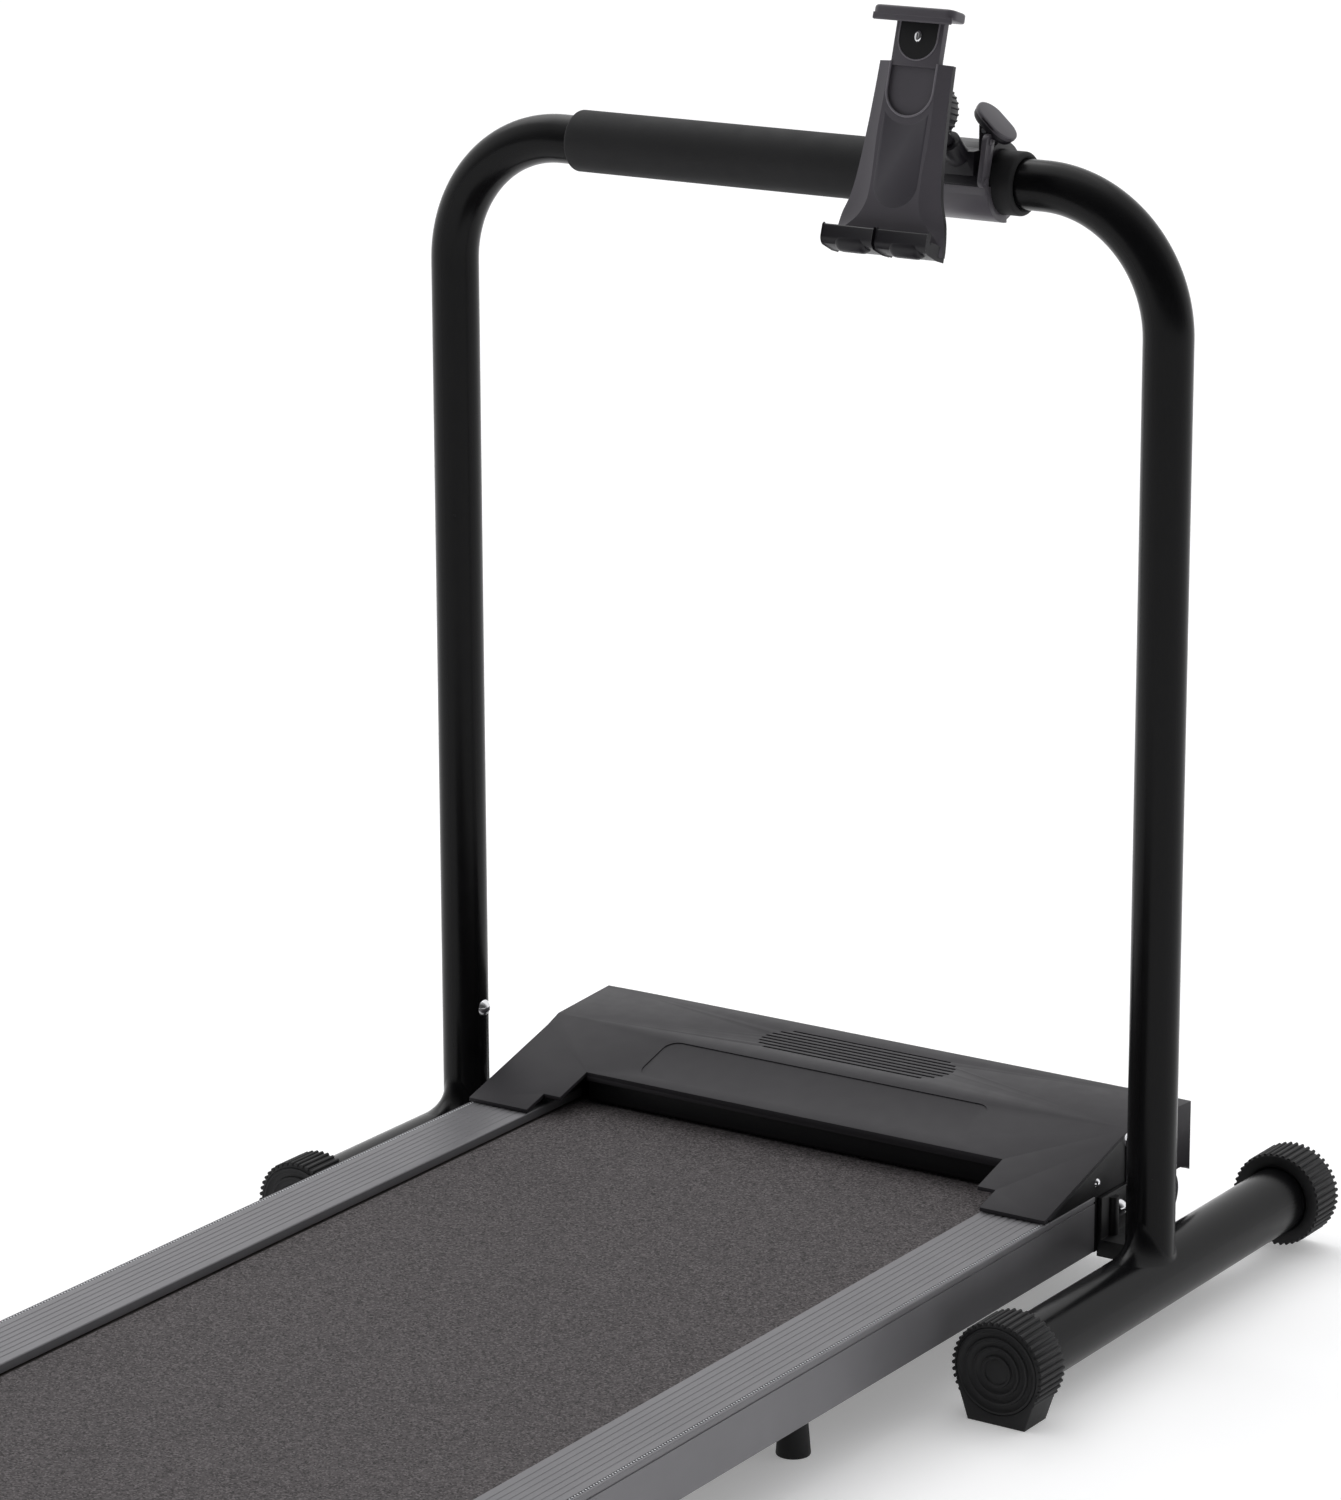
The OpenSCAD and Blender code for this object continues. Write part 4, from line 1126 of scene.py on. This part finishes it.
@dataclass
class Deck:
    """The ribbed rails with their beaded edges, and the running belt.

    Args:
        ridge_count: ridges along a rail's tread.
        ridge_pitch: distance between ridges.
        ridge_deep: depth of the groove between two ridges.
        bead_pitch: distance between the beads of a rail's edge.
        bead_radius: radius of a bead.
    """

    ridge_count: int = 7
    ridge_pitch: float = 6.2 * MM
    ridge_deep: float = 0.4 * MM
    bead_pitch: float = 3.2 * MM
    bead_radius: float = 0.95 * MM

    def rail_outline(self, inner: float, outer: float, low: float, top: float) -> list[Point2]:
        """The section of the right-hand rail in (X, Z).

        Args:
            inner: X of the inner edge.
            outer: X of the side wall's outer face.
            low: Z of the side wall's lower edge.
            top: Z of the tread.

        Returns:
            The closed outline.
        """
        skin = 2.4 * MM
        points: list[Point2] = [(inner, top - 7 * MM), (inner, top - 1.2 * MM)]
        points += arc((inner + 1.2 * MM, top - 1.2 * MM), 1.2 * MM, 180, 90, 4)
        first = inner + 8 * MM
        for i in range(self.ridge_count):
            x = first + i * self.ridge_pitch
            points += [(x - 0.5 * MM, top), (x, top - self.ridge_deep), (x + 1.0 * MM, top - self.ridge_deep)]
            points += [(x + 1.5 * MM, top)]
        points += [(outer - 4.6 * MM, top), (outer - 4.2 * MM, top - 0.9 * MM)]
        points += [(outer - 2.4 * MM, top - 0.9 * MM), (outer - 2.0 * MM, top - 0.3 * MM)]
        points += arc((outer - 1.2 * MM, top - 1.4 * MM), 1.2 * MM, 90, 0, 5)
        points += [(outer, top - 4.4 * MM), (outer - 0.9 * MM, top - 4.8 * MM)]
        points += [(outer - 0.9 * MM, top - 5.8 * MM), (outer, top - 6.2 * MM)]
        points += [(outer, low + 3.4 * MM), (outer, low + 1.0 * MM)]
        points += [(outer - 1.0 * MM, low), (outer - 14 * MM, low), (outer - 14 * MM, low + 2 * MM)]
        points += [(outer - skin, low + 2 * MM), (outer - skin, top - 7 * MM), (outer - 5 * MM, top - 3 * MM)]
        points += [(inner + skin, top - 3 * MM), (inner + skin, top - 7 * MM)]
        return points

    def rails(self) -> None:
        """Makes both rails and the beads in their edges."""
        for side, name in ((1, "right"), (-1, "left")):
            low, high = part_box(f"side_rail_{name}")
            inner = low.x if side > 0 else -high.x
            outer = high.x if side > 0 else -low.x
            outline = [(side * x, z) for x, z in self.rail_outline(inner, outer, low.z, high.z)]
            form = prism(outline, low.y, high.y, lengthways)
            made = in_scene(shaded(mesh_of(form, f"rail_{name}"), 30), f"rail_{name}")
            publish(made, Finishes.RAIL, ROOT, [f"side_rail_{name}"])
            count = int((high.y - low.y - 4 * MM) / self.bead_pitch)
            label = f"rail_beads_{name}"
            beads = row_of_beads(count, self.bead_pitch, self.bead_radius, Finishes.RAIL, label)
            place = Vector((side * (outer - 3.3 * MM), low.y + 3 * MM, high.z - 0.75 * MM))
            beads.transform(Matrix.Translation(place))
            publish(in_scene(shaded(beads, 60), label), Finishes.SINK, ROOT)

    def belt(self) -> None:
        """Makes the running belt as a loop with thin rounded edges."""
        low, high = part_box("running_belt")
        thick = 1.8 * MM
        outer = (high.z - low.z) / 2
        middle_z = (high.z + low.z) / 2
        y0, y1 = low.y + outer, high.y - outer
        form = bmesh.new()
        half = (high.x - low.x) / 2
        section = [(-half, 0.5 * MM), (-half + 0.5 * MM, 0.0)]
        section += [(-half + (2 * half) * k / 12, 0.0) for k in range(1, 12)]
        section += [(half - 0.5 * MM, 0.0), (half, 0.5 * MM), (half, thick), (-half, thick)]
        places: list[tuple[float, float, float, float]] = []
        for k in range(25):
            angle = math.pi / 2 + math.pi * k / 24
            places.append((y0, math.cos(angle), middle_z, math.sin(angle)))
        for k in range(25):
            angle = -math.pi / 2 + math.pi * k / 24
            places.append((y1, math.cos(angle), middle_z, math.sin(angle)))
        rings = []
        for y, cy, z, sz in places:
            ring = [(x, y + cy * (outer - d), z + sz * (outer - d)) for x, d in section]
            rings.append([form.verts.new(point) for point in ring])
        for i in range(len(rings)):
            first, second = rings[i], rings[(i + 1) % len(rings)]
            for k in range(len(section)):
                m = (k + 1) % len(section)
                form.faces.new((first[k], first[m], second[m], second[k]))
        made = in_scene(shaded(mesh_of(form, "belt_loop"), 40), "belt_loop")
        publish(made, Finishes.BELT, ROOT, ["running_belt"])

    def build(self) -> None:
        """Makes every shown piece of the deck."""
        self.rails()
        self.belt()


# ---------------------------------------------------------------- the motor cover


@dataclass
class Cover:
    """The sloped motor cover with its inset panel and air slots.

    Args:
        panel_x: where the inset panel starts and ends, sideways.
        panel_run: where it starts and ends up the slope, from the lip.
        panel_round: radius of its corners.
        panel_deep: how far it is sunk.
        skin: the cover's wall.
    """

    frame: dict
    panel_x: Point2 = (-154 * MM, 150 * MM)
    panel_run: Point2 = (11 * MM, 64 * MM)
    panel_round: float = 12 * MM
    panel_deep: float = 0.9 * MM
    skin: float = 3 * MM

    def build(self) -> None:
        """Makes the cover from its node, cuts the panel and rounds the edges."""
        made = from_node(self.frame, "motor_cover", "_shell", 0.02)
        guard_low, guard_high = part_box("belt_guard")
        lip, lip_z = guard_low.y - self.skin, guard_high.z + self.skin
        top = max(v.co.z for v in made.data.vertices)
        crease = min(v.co.y for v in made.data.vertices if v.co.z > top - 0.01 * MM)
        along = Vector((0, crease - lip, top - lip_z)).normalized()
        normal = Vector((0, -along.z, along.y))
        start = Vector((0, lip, lip_z))

        def on_slope(x: float, run: float, depth: float) -> Vector:
            """A place on the slope: across, up it from the lip, and out of it."""
            return start + Vector((x, 0, 0)) + along * run + normal * depth

        (x0, x1), (r0, r1) = self.panel_x, self.panel_run
        panel = rounded_box((x0, r0), (x1, r1), self.panel_round)
        tool = mesh_of(prism(panel, -self.panel_deep, 5 * MM, on_slope), "panel_tool")
        carve(made, tool)
        rounded(made, 0.9 * MM, 3)
        shaded(made.data, 30)
        publish(made, Finishes.COVER, ROOT, ["motor_cover"])


# ---------------------------------------------------------------- the tablet holder


def smooth_line(points: Sequence[Point2], steps: int = 5) -> list[Point2]:
    """Passes a smooth line through points.

    Args:
        points: the points.
        steps: pieces of line between two of them.

    Returns:
        The line's points.
    """
    line: list[Point2] = []
    last = len(points) - 1
    for i in range(last):
        p0, p1, p2, p3 = (Vector(points[max(0, min(last, i + k))]) for k in (-1, 0, 1, 2))
        for k in range(steps):
            t = k / steps
            here = p1 * 2 + (p2 - p0) * t + (p0 * 2 - p1 * 5 + p2 * 4 - p3) * t**2
            here += (p1 * 3 - p0 - p2 * 3 + p3) * t**3
            line.append((here.x / 2, here.y / 2))
    return line + [tuple(points[-1])]


@dataclass
class Holder:
    """The cradle's bevelled face, its hooks, the sliding jaw and the thumb paddle.

    Args:
        drop: from the ball's centre to the face's origin, in millimetres of the row frame.
        face_half: the flat face's right edge as (across, up), from foot to top.
        rim_half: the bevel's outer edge beside it.
        bevel_deep: how far the bevel goes back.
        thick: the cradle's thickness.
        top: the height of its upper end.
        window: the window's half-width and the height of its round foot.
        channel: half-width and lower end of the channel the slider runs in.
        screw: the slider screw's half-width, half-height and place.
    """

    frame: dict
    drop: tuple[float, float, float] = (0.0, 35.0, 11.7)
    face_half: tuple[Point2, ...] = (
        (44.0, -86), (43.6, -80), (40.0, -73), (29.0, -63), (22.5, -50), (21.5, -31), (22.5, 0), (21.5, 30),
        (21.2, 52),
    )
    rim_half: tuple[Point2, ...] = (
        (46.0, -86), (45.8, -80), (45.0, -72), (43.0, -61), (38.5, -48), (35.5, -31), (33.0, 0), (31.5, 30),
        (30.8, 52),
    )
    bevel_deep: float = 3.6
    thick: float = 9.0
    top: float = 52.0
    window: Point2 = (19.6, 32.0)
    channel: Point2 = (23.4, -62.0)
    screw: tuple[float, float, float] = (3.0, 4.4, 71.0)
    origin: Vector = field(init=False)
    up: Vector = field(init=False)
    out: Vector = field(init=False)
    pivot: Vector = field(init=False)

    def __post_init__(self) -> None:
        """Finds the face's frame from the joints."""
        joints = {joint["name"]: joint for joint in self.frame["joints"]}
        self.origin = Vector(joints["holder_turn"]["pos_m"]) - Vector(self.drop) * MM
        self.up = Vector(joints["jaw_slide"]["axis"]).normalized()
        self.out = Vector(joints["holder_turn"]["axis"]).normalized()
        self.pivot = Vector(joints["lever_lift"]["pos_m"])

    def on_face(self, u: float, v: float, depth: float) -> Vector:
        """Millimetres across, up and behind the face, to a place in the row frame."""
        return self.origin + (Vector((u, 0, 0)) + self.up * v - self.out * depth) * MM

    def on_plan(self, u: float, v: float, depth: float) -> Vector:
        """The same, for an outline seen from above that is drawn upwards."""
        return self.on_face(u, depth, v)

    def on_side(self, u: float, v: float, depth: float) -> Vector:
        """The same, for an outline seen from the side that is drawn across."""
        return self.on_face(depth, v, u)

    def piece(
        self, forms: Sequence[object], name: str, finish: Finish, body: str, *nodes: str
    ) -> bpy.types.Object:
        """Joins closed forms into one finished piece.

        Args:
            forms: bmeshes or meshes.
            name: the piece's name.
            finish: its finish.
            body: the body it rides on.
            nodes: the nodes it stands for.

        Returns:
            The piece.
        """
        return publish(in_scene(shaded(joined(forms, name), 28), name), finish, body, nodes)

    def layer(self, edge: Sequence[Point2], gap: Sequence[Point2]) -> list[Point2]:
        """One closed outline: the cradle's right edge, the gap from right to left, the left edge.

        Args:
            edge: the right edge from foot to top.
            gap: the gap's outline from its right top end round its foot to the left one.

        Returns:
            The outline, anticlockwise.
        """
        return [*edge, *gap, *((-x, y) for x, y in reversed(edge))]

    def cradle(self) -> None:
        """Makes the face, its back in black as painted shade, the window's bezel with a painted highlight,
        and the inset panel.
        """
        face, rim = smooth_line(self.face_half), smooth_line(self.rim_half)
        half, centre = self.window
        sweep = list(reversed(arc((0, centre), half, 180, 360, 24)))
        window = [(half, self.top), *sweep, (-half, self.top)]
        wide, foot = self.channel
        span = len(sweep) - 1
        channel = [(wide, self.top)]
        channel += [(wide * (1 - 2 * k / span), foot) for k in range(span + 1)]
        channel += [(-wide, self.top)]
        shut = [(wide * (1 - 2 * k / (span + 2)), self.top) for k in range(span + 3)]
        step = 2.5
        share = step / self.bevel_deep
        between = [(a[0] + (b[0] - a[0]) * share, a[1] + (b[1] - a[1]) * share) for a, b in zip(face, rim)]
        nearer = [(x - 0.5, y) for x, y in face]
        levels = [
            (self.layer(nearer, window), 0.0),
            (self.layer(face, window), 0.25),
            (self.layer(between, window), step),
            (self.layer(between, channel), step),
            (self.layer(rim, channel), self.bevel_deep),
        ]
        front = in_scene(shaded(mesh_of(loft(levels, self.on_face), "cradle_face"), 20), "cradle_face")
        publish(front, Finishes.HOLDER, "cradle", ["holder_back"])
        # The back is black as painted shade of the cradle's dark side wall; the hub goes into the same piece.
        closer = [(x - 1.5, y) for x, y in rim]
        levels = [
            (self.layer(rim, channel), self.bevel_deep),
            (self.layer(rim, channel), 7.1),
            (self.layer(rim, shut), 7.1),
            (self.layer(rim, shut), self.thick - 1.2),
            (self.layer(closer, shut), self.thick),
        ]
        ball = self.origin + Vector(self.drop) * MM
        depth = (ball - self.origin).dot(-self.out) - 7.9 * MM
        height = (ball - self.origin).dot(self.up)
        hub = Lathe(self.origin + self.up * height, -self.out, 64).turn(
            [(7.3 * MM, 0.0), (7.3 * MM, 17 * MM), (depth - 1.5 * MM, 17 * MM), (depth, 15.5 * MM),
             (depth, 9 * MM), (depth - 2 * MM, 9 * MM), (depth - 2 * MM, 0.0)], "hub")
        self.piece([loft(levels, self.on_face), hub], "cradle_back_shade", Finishes.CLAMP, "cradle")
        # The bezel's lighter grey is a painted highlight.
        line = [self.on_face(u, v, 0.1) for u, v in window]
        bezel = tube_along(line, 0.9 * MM, "bezel", 12, self.out)
        self.piece([bezel], "window_bezel_highlight", Finishes.BEZEL, "cradle")
        panel = arc((0, -36), 18.5, 180, 360, 20) + arc((0, 30), 23.5, 322, 218, 12)
        self.piece(
            [slab(panel, -0.35, 0.6, self.on_face, Rim(0.35, 0.8))], "inset_panel", Finishes.INSET, "cradle"
        )

    def hooks(self) -> None:
        """Makes the two hooks along the cradle's foot."""
        section = [(8.6, -80)] + [(-12, -80)] + arc((-12, -77.5), 2.5, 270, 180, 5)
        section += arc((-16.2, -73.5), 1.7, 0, 180, 6)
        section += arc((-12, -80.5), 6.0, 180, 250, 6) + [(0, -88.5), (8.6, -88.5)]
        section.reverse()
        hooks = []
        for low, high in ((-44.5, -1.2), (1.2, 44.5)):
            middle = (low + high) / 2 + 2
            hooks.append(slab(section, low, high, self.on_side, Rim(1.2, 1.0, 3), Rim(1.2, 1.0, 3)))
            bulge = [(p[0], p[1]) for p in arc((-9.5, -82), 8.6, 150, 330, 14)] + [(6, -80), (-9.5, -78.5)]
            hooks.append(slab(bulge, middle - 13, middle + 13, self.on_side, Rim(5, 3.2, 4), Rim(5, 3.2, 4)))
        self.piece(hooks, "cradle_hooks", Finishes.CLAMP, "cradle")

    def slider(self) -> None:
        """Makes the sliding plate with its T-shaped jaw, and a recess drawn as a black sheet of painted
        shade.
        """
        plate = rounded_box((-23, -45), (23, 51), 1.5, 3)
        neck = [(-20, 49), (20, 49), (20, 86), (-20, 86)]
        jaw = rounded_box((-34, -14), (34, 9), 6.5, 8)
        lip = rounded_box((-33.2, -13.6), (33.2, -10.4), 1.5, 5)
        forms = [
            slab(plate, 2.8, 6.8, self.on_face, Rim(0.4, 0.4)),
            slab(neck, 0.4, 6.8, self.on_face, Rim(0.6, 0.6, 2)),
            slab(jaw, 83, 90.5, self.on_plan, Rim(1.2, 1.2, 3), Rim(2.4, 2.4, 4)),
            slab(lip, 79.5, 84.6, self.on_plan, Rim(1.2, 1.0, 3)),
        ]
        self.piece(forms, "sliding_jaw", Finishes.HOLDER, "cradle_slide", "holder_slider")
        # A black sheet painted as the recess's shade, with a lighter rim as a painted highlight.
        half = 16.4
        recess = [(half, 82.6), (-half, 82.6)] + arc((0, 70), half, 180, 360, 20)
        self.piece([slab(recess, 0.15, 1.0, self.on_face)], "jaw_recess_shade", Finishes.TRIM, "cradle_slide")
        path = [(half, 82.6)] + list(reversed(arc((0, 70), half, 180, 360, 20))) + [(-half, 82.6)]
        line = [self.on_face(u, v, 0.2) for u, v in path]
        rim = tube_along(line, 0.6 * MM, "recess_rim_highlight", 10, self.out)
        self.piece([rim], "recess_rim_highlight", Finishes.BEZEL, "cradle_slide")
        wide, tall, at = self.screw
        oval = [(wide * u, at + tall * v) for u, v in arc((0, 0), 1.0, 0, 348.75, 31)]
        dome = slab(oval, -1.5, 0.4, self.on_face, Rim(1.5, 1.9, 5))
        self.piece([dome], "screw_head", Finishes.CHROME, "cradle_slide", "slider_screw")
        # A black bar across the chrome head, painted as the shade in the screw's slot.
        groove = [(-0.4, at - 2.2), (0.4, at - 2.2), (0.4, at + 2.2), (-0.4, at + 2.2)]
        self.piece([slab(groove, -1.54, -0.9, self.on_face)], "screw_slot_shade", Finishes.TRIM, "cradle_slide")

    def paddle(self) -> None:
        """Makes the thumb lever's dished oval paddle with its thick underside, black as painted shade."""
        slope = math.radians(42)
        across = Vector((math.cos(slope), 0, -math.sin(slope)))
        rise = Vector((math.sin(slope), 0, math.cos(slope)))

        def on_paddle(u: float, v: float, depth: float) -> Vector:
            """Millimetres along, across and above the lever's pin."""
            return self.pivot + (across * u + Vector((0, v, 0)) + rise * depth) * MM

        half, end = 6.0, 13.0
        outline = arc((half, 0), end, -90, 90, 20) + arc((-half, 0), end, 90, 270, 20)
        top = slab(outline, 6.0, 9.4, on_paddle, Rim(1.0, 1.0, 3), Rim(1.4, 1.6, 4))
        self.piece([top], "thumb_paddle", Finishes.JAW, "thumb_lever")
        # The underside is black as painted shade under the paddle.
        under = slab(inset(outline, 0.6), 0.4, 6.6, on_paddle, Rim(3.6, 4.0, 4))
        self.piece([under], "paddle_underside_shade", Finishes.CLAMP, "thumb_lever")

    def build(self) -> None:
        """Makes every piece of the holder."""
        self.cradle()
        self.hooks()
        self.slider()
        self.paddle()


# ---------------------------------------------------------------- plain pieces


@dataclass(frozen=True)
class Softened:
    """A frame node that is kept in shape and gets rounded edges.

    Args:
        node: the node's name.
        finish: its finish.
        body: the body it rides on.
        radius: the radius of its edges.
    """

    node: str
    finish: Finish
    body: str = ROOT
    radius: float = 0.6 * MM

    def build(self, frame: dict) -> None:
        """Makes the piece from the frame's node.
        """
        made = from_node(frame, self.node, "_finished")
        rounded(made, self.radius, 2)
        shaded(made.data, 32)
        publish(made, self.finish, self.body, [self.node])


SIDES = ("left", "right")
SOFTENED = [
    *(Softened(f"stand_bracket_{side}", Finishes.BRACKET) for side in SIDES),
    *(Softened(f"rear_cap_{side}", Finishes.TRIM, radius=1.0 * MM) for side in SIDES),
    Softened("belt_guard", Finishes.TRIM),
    *(Softened(f"side_plate_{side}", Finishes.TRIM, radius=0.4 * MM) for side in SIDES),
    Softened("belly_pan", Finishes.TRIM),
    *(Softened(name, Finishes.TRIM, radius=0.5 * MM) for name in ("power_inlet", "switch_body")),
    Softened("rocker_switch", Finishes.ROCKER, "rocker", 0.5 * MM),
    Softened("breaker_button", Finishes.BUTTON, "reset_button", 0.6 * MM),
    Softened("rubber_feet", Finishes.CAP, radius=1.0 * MM),
    *(Softened(f"transport_wheel_{side}", Finishes.WHEEL, f"wheel_{side}") for side in SIDES),
    Softened("clamp_body", Finishes.CLAMP, "bar_clamp", 0.8 * MM),
    Softened("clamp_jaw", Finishes.JAW, "bar_jaw", 0.8 * MM),
    Softened("clamp_lever", Finishes.JAW, "thumb_lever", 0.9 * MM),
    Softened("lock_collar", Finishes.CLAMP, "collar", 0.3 * MM),
]

PLAIN: dict[str, Finish] = {
    "stand_bolts": Finishes.CHROME,
    "stand_insert_nuts": Finishes.ZINC,
    "side_beam_left": Finishes.STEEL,
    "side_beam_right": Finishes.STEEL,
    "cross_tubes": Finishes.STEEL,
    "running_deck": Finishes.BOARD,
    "deck_cushions": Finishes.CAP,
    "front_roller": Finishes.ROLLER,
    "front_roller_shaft": Finishes.ZINC,
    "roller_bearings": Finishes.BEARING,
    "roller_pulley": Finishes.PULLEY,
    "rear_roller": Finishes.ROLLER,
    "rear_roller_shaft": Finishes.ZINC,
    "tension_bolts": Finishes.ZINC,
    "motor_body": Finishes.MOTOR,
    "motor_rotor": Finishes.ROTOR,
    "motor_pulley": Finishes.PULLEY,
    "motor_mount": Finishes.STEEL,
    "drive_belt": Finishes.DRIVE,
    "control_board": Finishes.CIRCUIT,
    "heat_sink": Finishes.SINK,
    "cover_rivets": Finishes.CHROME,
    "wheel_axles": Finishes.ZINC,
    "clamp_pins": Finishes.ZINC,
    "ball_stud": Finishes.CLAMP,
    "ball_seat": Finishes.LINER,
}


def dress_plain_nodes(frame: dict) -> None:
    """Gives the nodes that stay as they are their finishes.
    """
    for name, finish in PLAIN.items():
        node = frame["nodes"][name]
        node.data.materials.clear()
        node.data.materials.append(finish.material())
        LOG.info("%s: dressed as %s", name, finish.slot)


# ---------------------------------------------------------------- the studio


@dataclass
class Studio:
    """The floor, the lights and the camera.

    Args:
        azimuth: the camera's turn round the machine, in degrees.
        elevation: its height above the horizon, in degrees.
        roll: its roll, in degrees.
        station: where it stands.
        lens: focal length in millimetres, on a 36 mm sensor.
        sky: (place, tone) of the world from behind the machine to behind the viewer.
        floor_glow: the light the paper floor gives of itself, which keeps its shadows pale.
    """

    azimuth: float = 33.6
    elevation: float = 15.1
    roll: float = -0.21
    station: tuple[float, float, float] = (2.17717, -3.06252, 1.5151)
    lens: float = 130.14
    sky: tuple[Point2, ...] = ((0.42, 1.04), (0.60, 0.36), (0.80, 0.07))
    floor_glow: float = 0.26

    def camera(self) -> None:
        """Sets up the camera."""
        turn, rise, roll = (math.radians(v) for v in (self.azimuth, self.elevation, self.roll))
        back = Vector((math.sin(turn) * math.cos(rise), -math.cos(turn) * math.cos(rise), math.sin(rise)))
        right = Vector((0, 0, 1)).cross(back).normalized()
        up = back.cross(right)
        rolled_right = right * math.cos(roll) + up * math.sin(roll)
        rolled_up = up * math.cos(roll) - right * math.sin(roll)
        data = bpy.data.cameras.new("camera")
        data.lens, data.sensor_width, data.clip_end = self.lens, 36.0, 60.0
        camera = bpy.data.objects.new("camera", data)
        bpy.context.scene.collection.objects.link(camera)
        axes = Matrix((rolled_right, rolled_up, back)).transposed().to_4x4()
        camera.matrix_world = Matrix.Translation(self.station) @ axes
        bpy.context.scene.camera = camera

    def lamp(self, name: str, place: Colour, aim: Colour, size: Point2, watts: float) -> None:
        """Adds a rectangular soft light.

        Args:
            name: the light's name.
            place: where it hangs.
            aim: where it points.
            size: its width and height.
            watts: its power.
        """
        data = bpy.data.lights.new(name, "AREA")
        data.shape, data.size, data.size_y, data.energy = "RECTANGLE", size[0], size[1], watts
        light = bpy.data.objects.new(name, data)
        bpy.context.scene.collection.objects.link(light)
        light.location = place
        light.rotation_mode = "QUATERNION"
        light.rotation_quaternion = (Vector(aim) - Vector(place)).to_track_quat("-Z", "Y")

    def surroundings(self) -> None:
        """Sets the pale floor and the white world."""
        recipe = Recipe(bpy.data.worlds.new("studio"))
        bpy.context.scene.world = recipe.owner
        turn = math.radians(self.azimuth)
        viewer = (math.sin(turn), -math.cos(turn), -0.25)
        place = recipe.node("ShaderNodeTexCoord", output="Generated")
        facing = recipe.node(
            "ShaderNodeVectorMath", {"operation": "DOT_PRODUCT"}, {0: place, 1: viewer}, "Value"
        )
        stops = [(where, (tone, tone, tone * 1.005)) for where, tone in self.sky]
        sky = recipe.node("ShaderNodeValToRGB", {"stops": stops}, {0: facing * 0.5 + 0.5})
        shown = recipe.node("ShaderNodeBackground", None, {"Color": sky})
        recipe.node("ShaderNodeOutputWorld", None, {"Surface": shown})
        reach = 14.0
        form = bmesh.new()
        corners = ((-reach, -reach, 0.0), (reach, -reach, 0.0), (reach, reach, 0.0), (-reach, reach, 0.0))
        form.faces.new([form.verts.new(corner) for corner in corners])
        floor = in_scene(mesh_of(form, "floor", outward=False), "floor")
        paper = Recipe(bpy.data.materials.new("floor_paper"))
        tone = paper.mix(paper.noise(0.4, 3.0), (0.90, 0.90, 0.905), (0.93, 0.93, 0.935))
        grain = paper.noise(2 * MM)
        glow = {"Emission Color": (1.0, 1.0, 1.0, 1.0), "Emission Strength": self.floor_glow}
        floor.data.materials.append(paper.close(tone, grain * 0.1 + 0.8, grain, 0.01 * MM, glow))

    def build(self) -> None:
        """Sets up the whole studio."""
        self.camera()
        self.surroundings()
        self.lamp("key_light", (-2.2, 1.6, 3.0), (0.0, 0.0, 0.3), (2.4, 1.6), 12.0)
        sun = bpy.data.lights.new("sky_light", "SUN")
        sun.energy, sun.angle = 0.4, math.radians(55)
        light = bpy.data.objects.new("sky_light", sun)
        bpy.context.scene.collection.objects.link(light)
        light.rotation_mode = "QUATERNION"
        light.rotation_quaternion = Vector((0.35, -0.25, -1.0)).to_track_quat("-Z", "Y")
        bpy.context.scene.view_settings.view_transform = "Standard"


def main() -> None:
    """Builds the machine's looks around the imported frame."""
    logging.basicConfig(level=logging.INFO, format="%(message)s")
    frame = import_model()
    Studio().build()
    dress_plain_nodes(frame)
    Stand().build()
    Deck().build()
    Cover(frame).build()
    Holder(frame).build()
    for piece in SOFTENED:
        piece.build(frame)


if __name__ == "__main__":
    main()
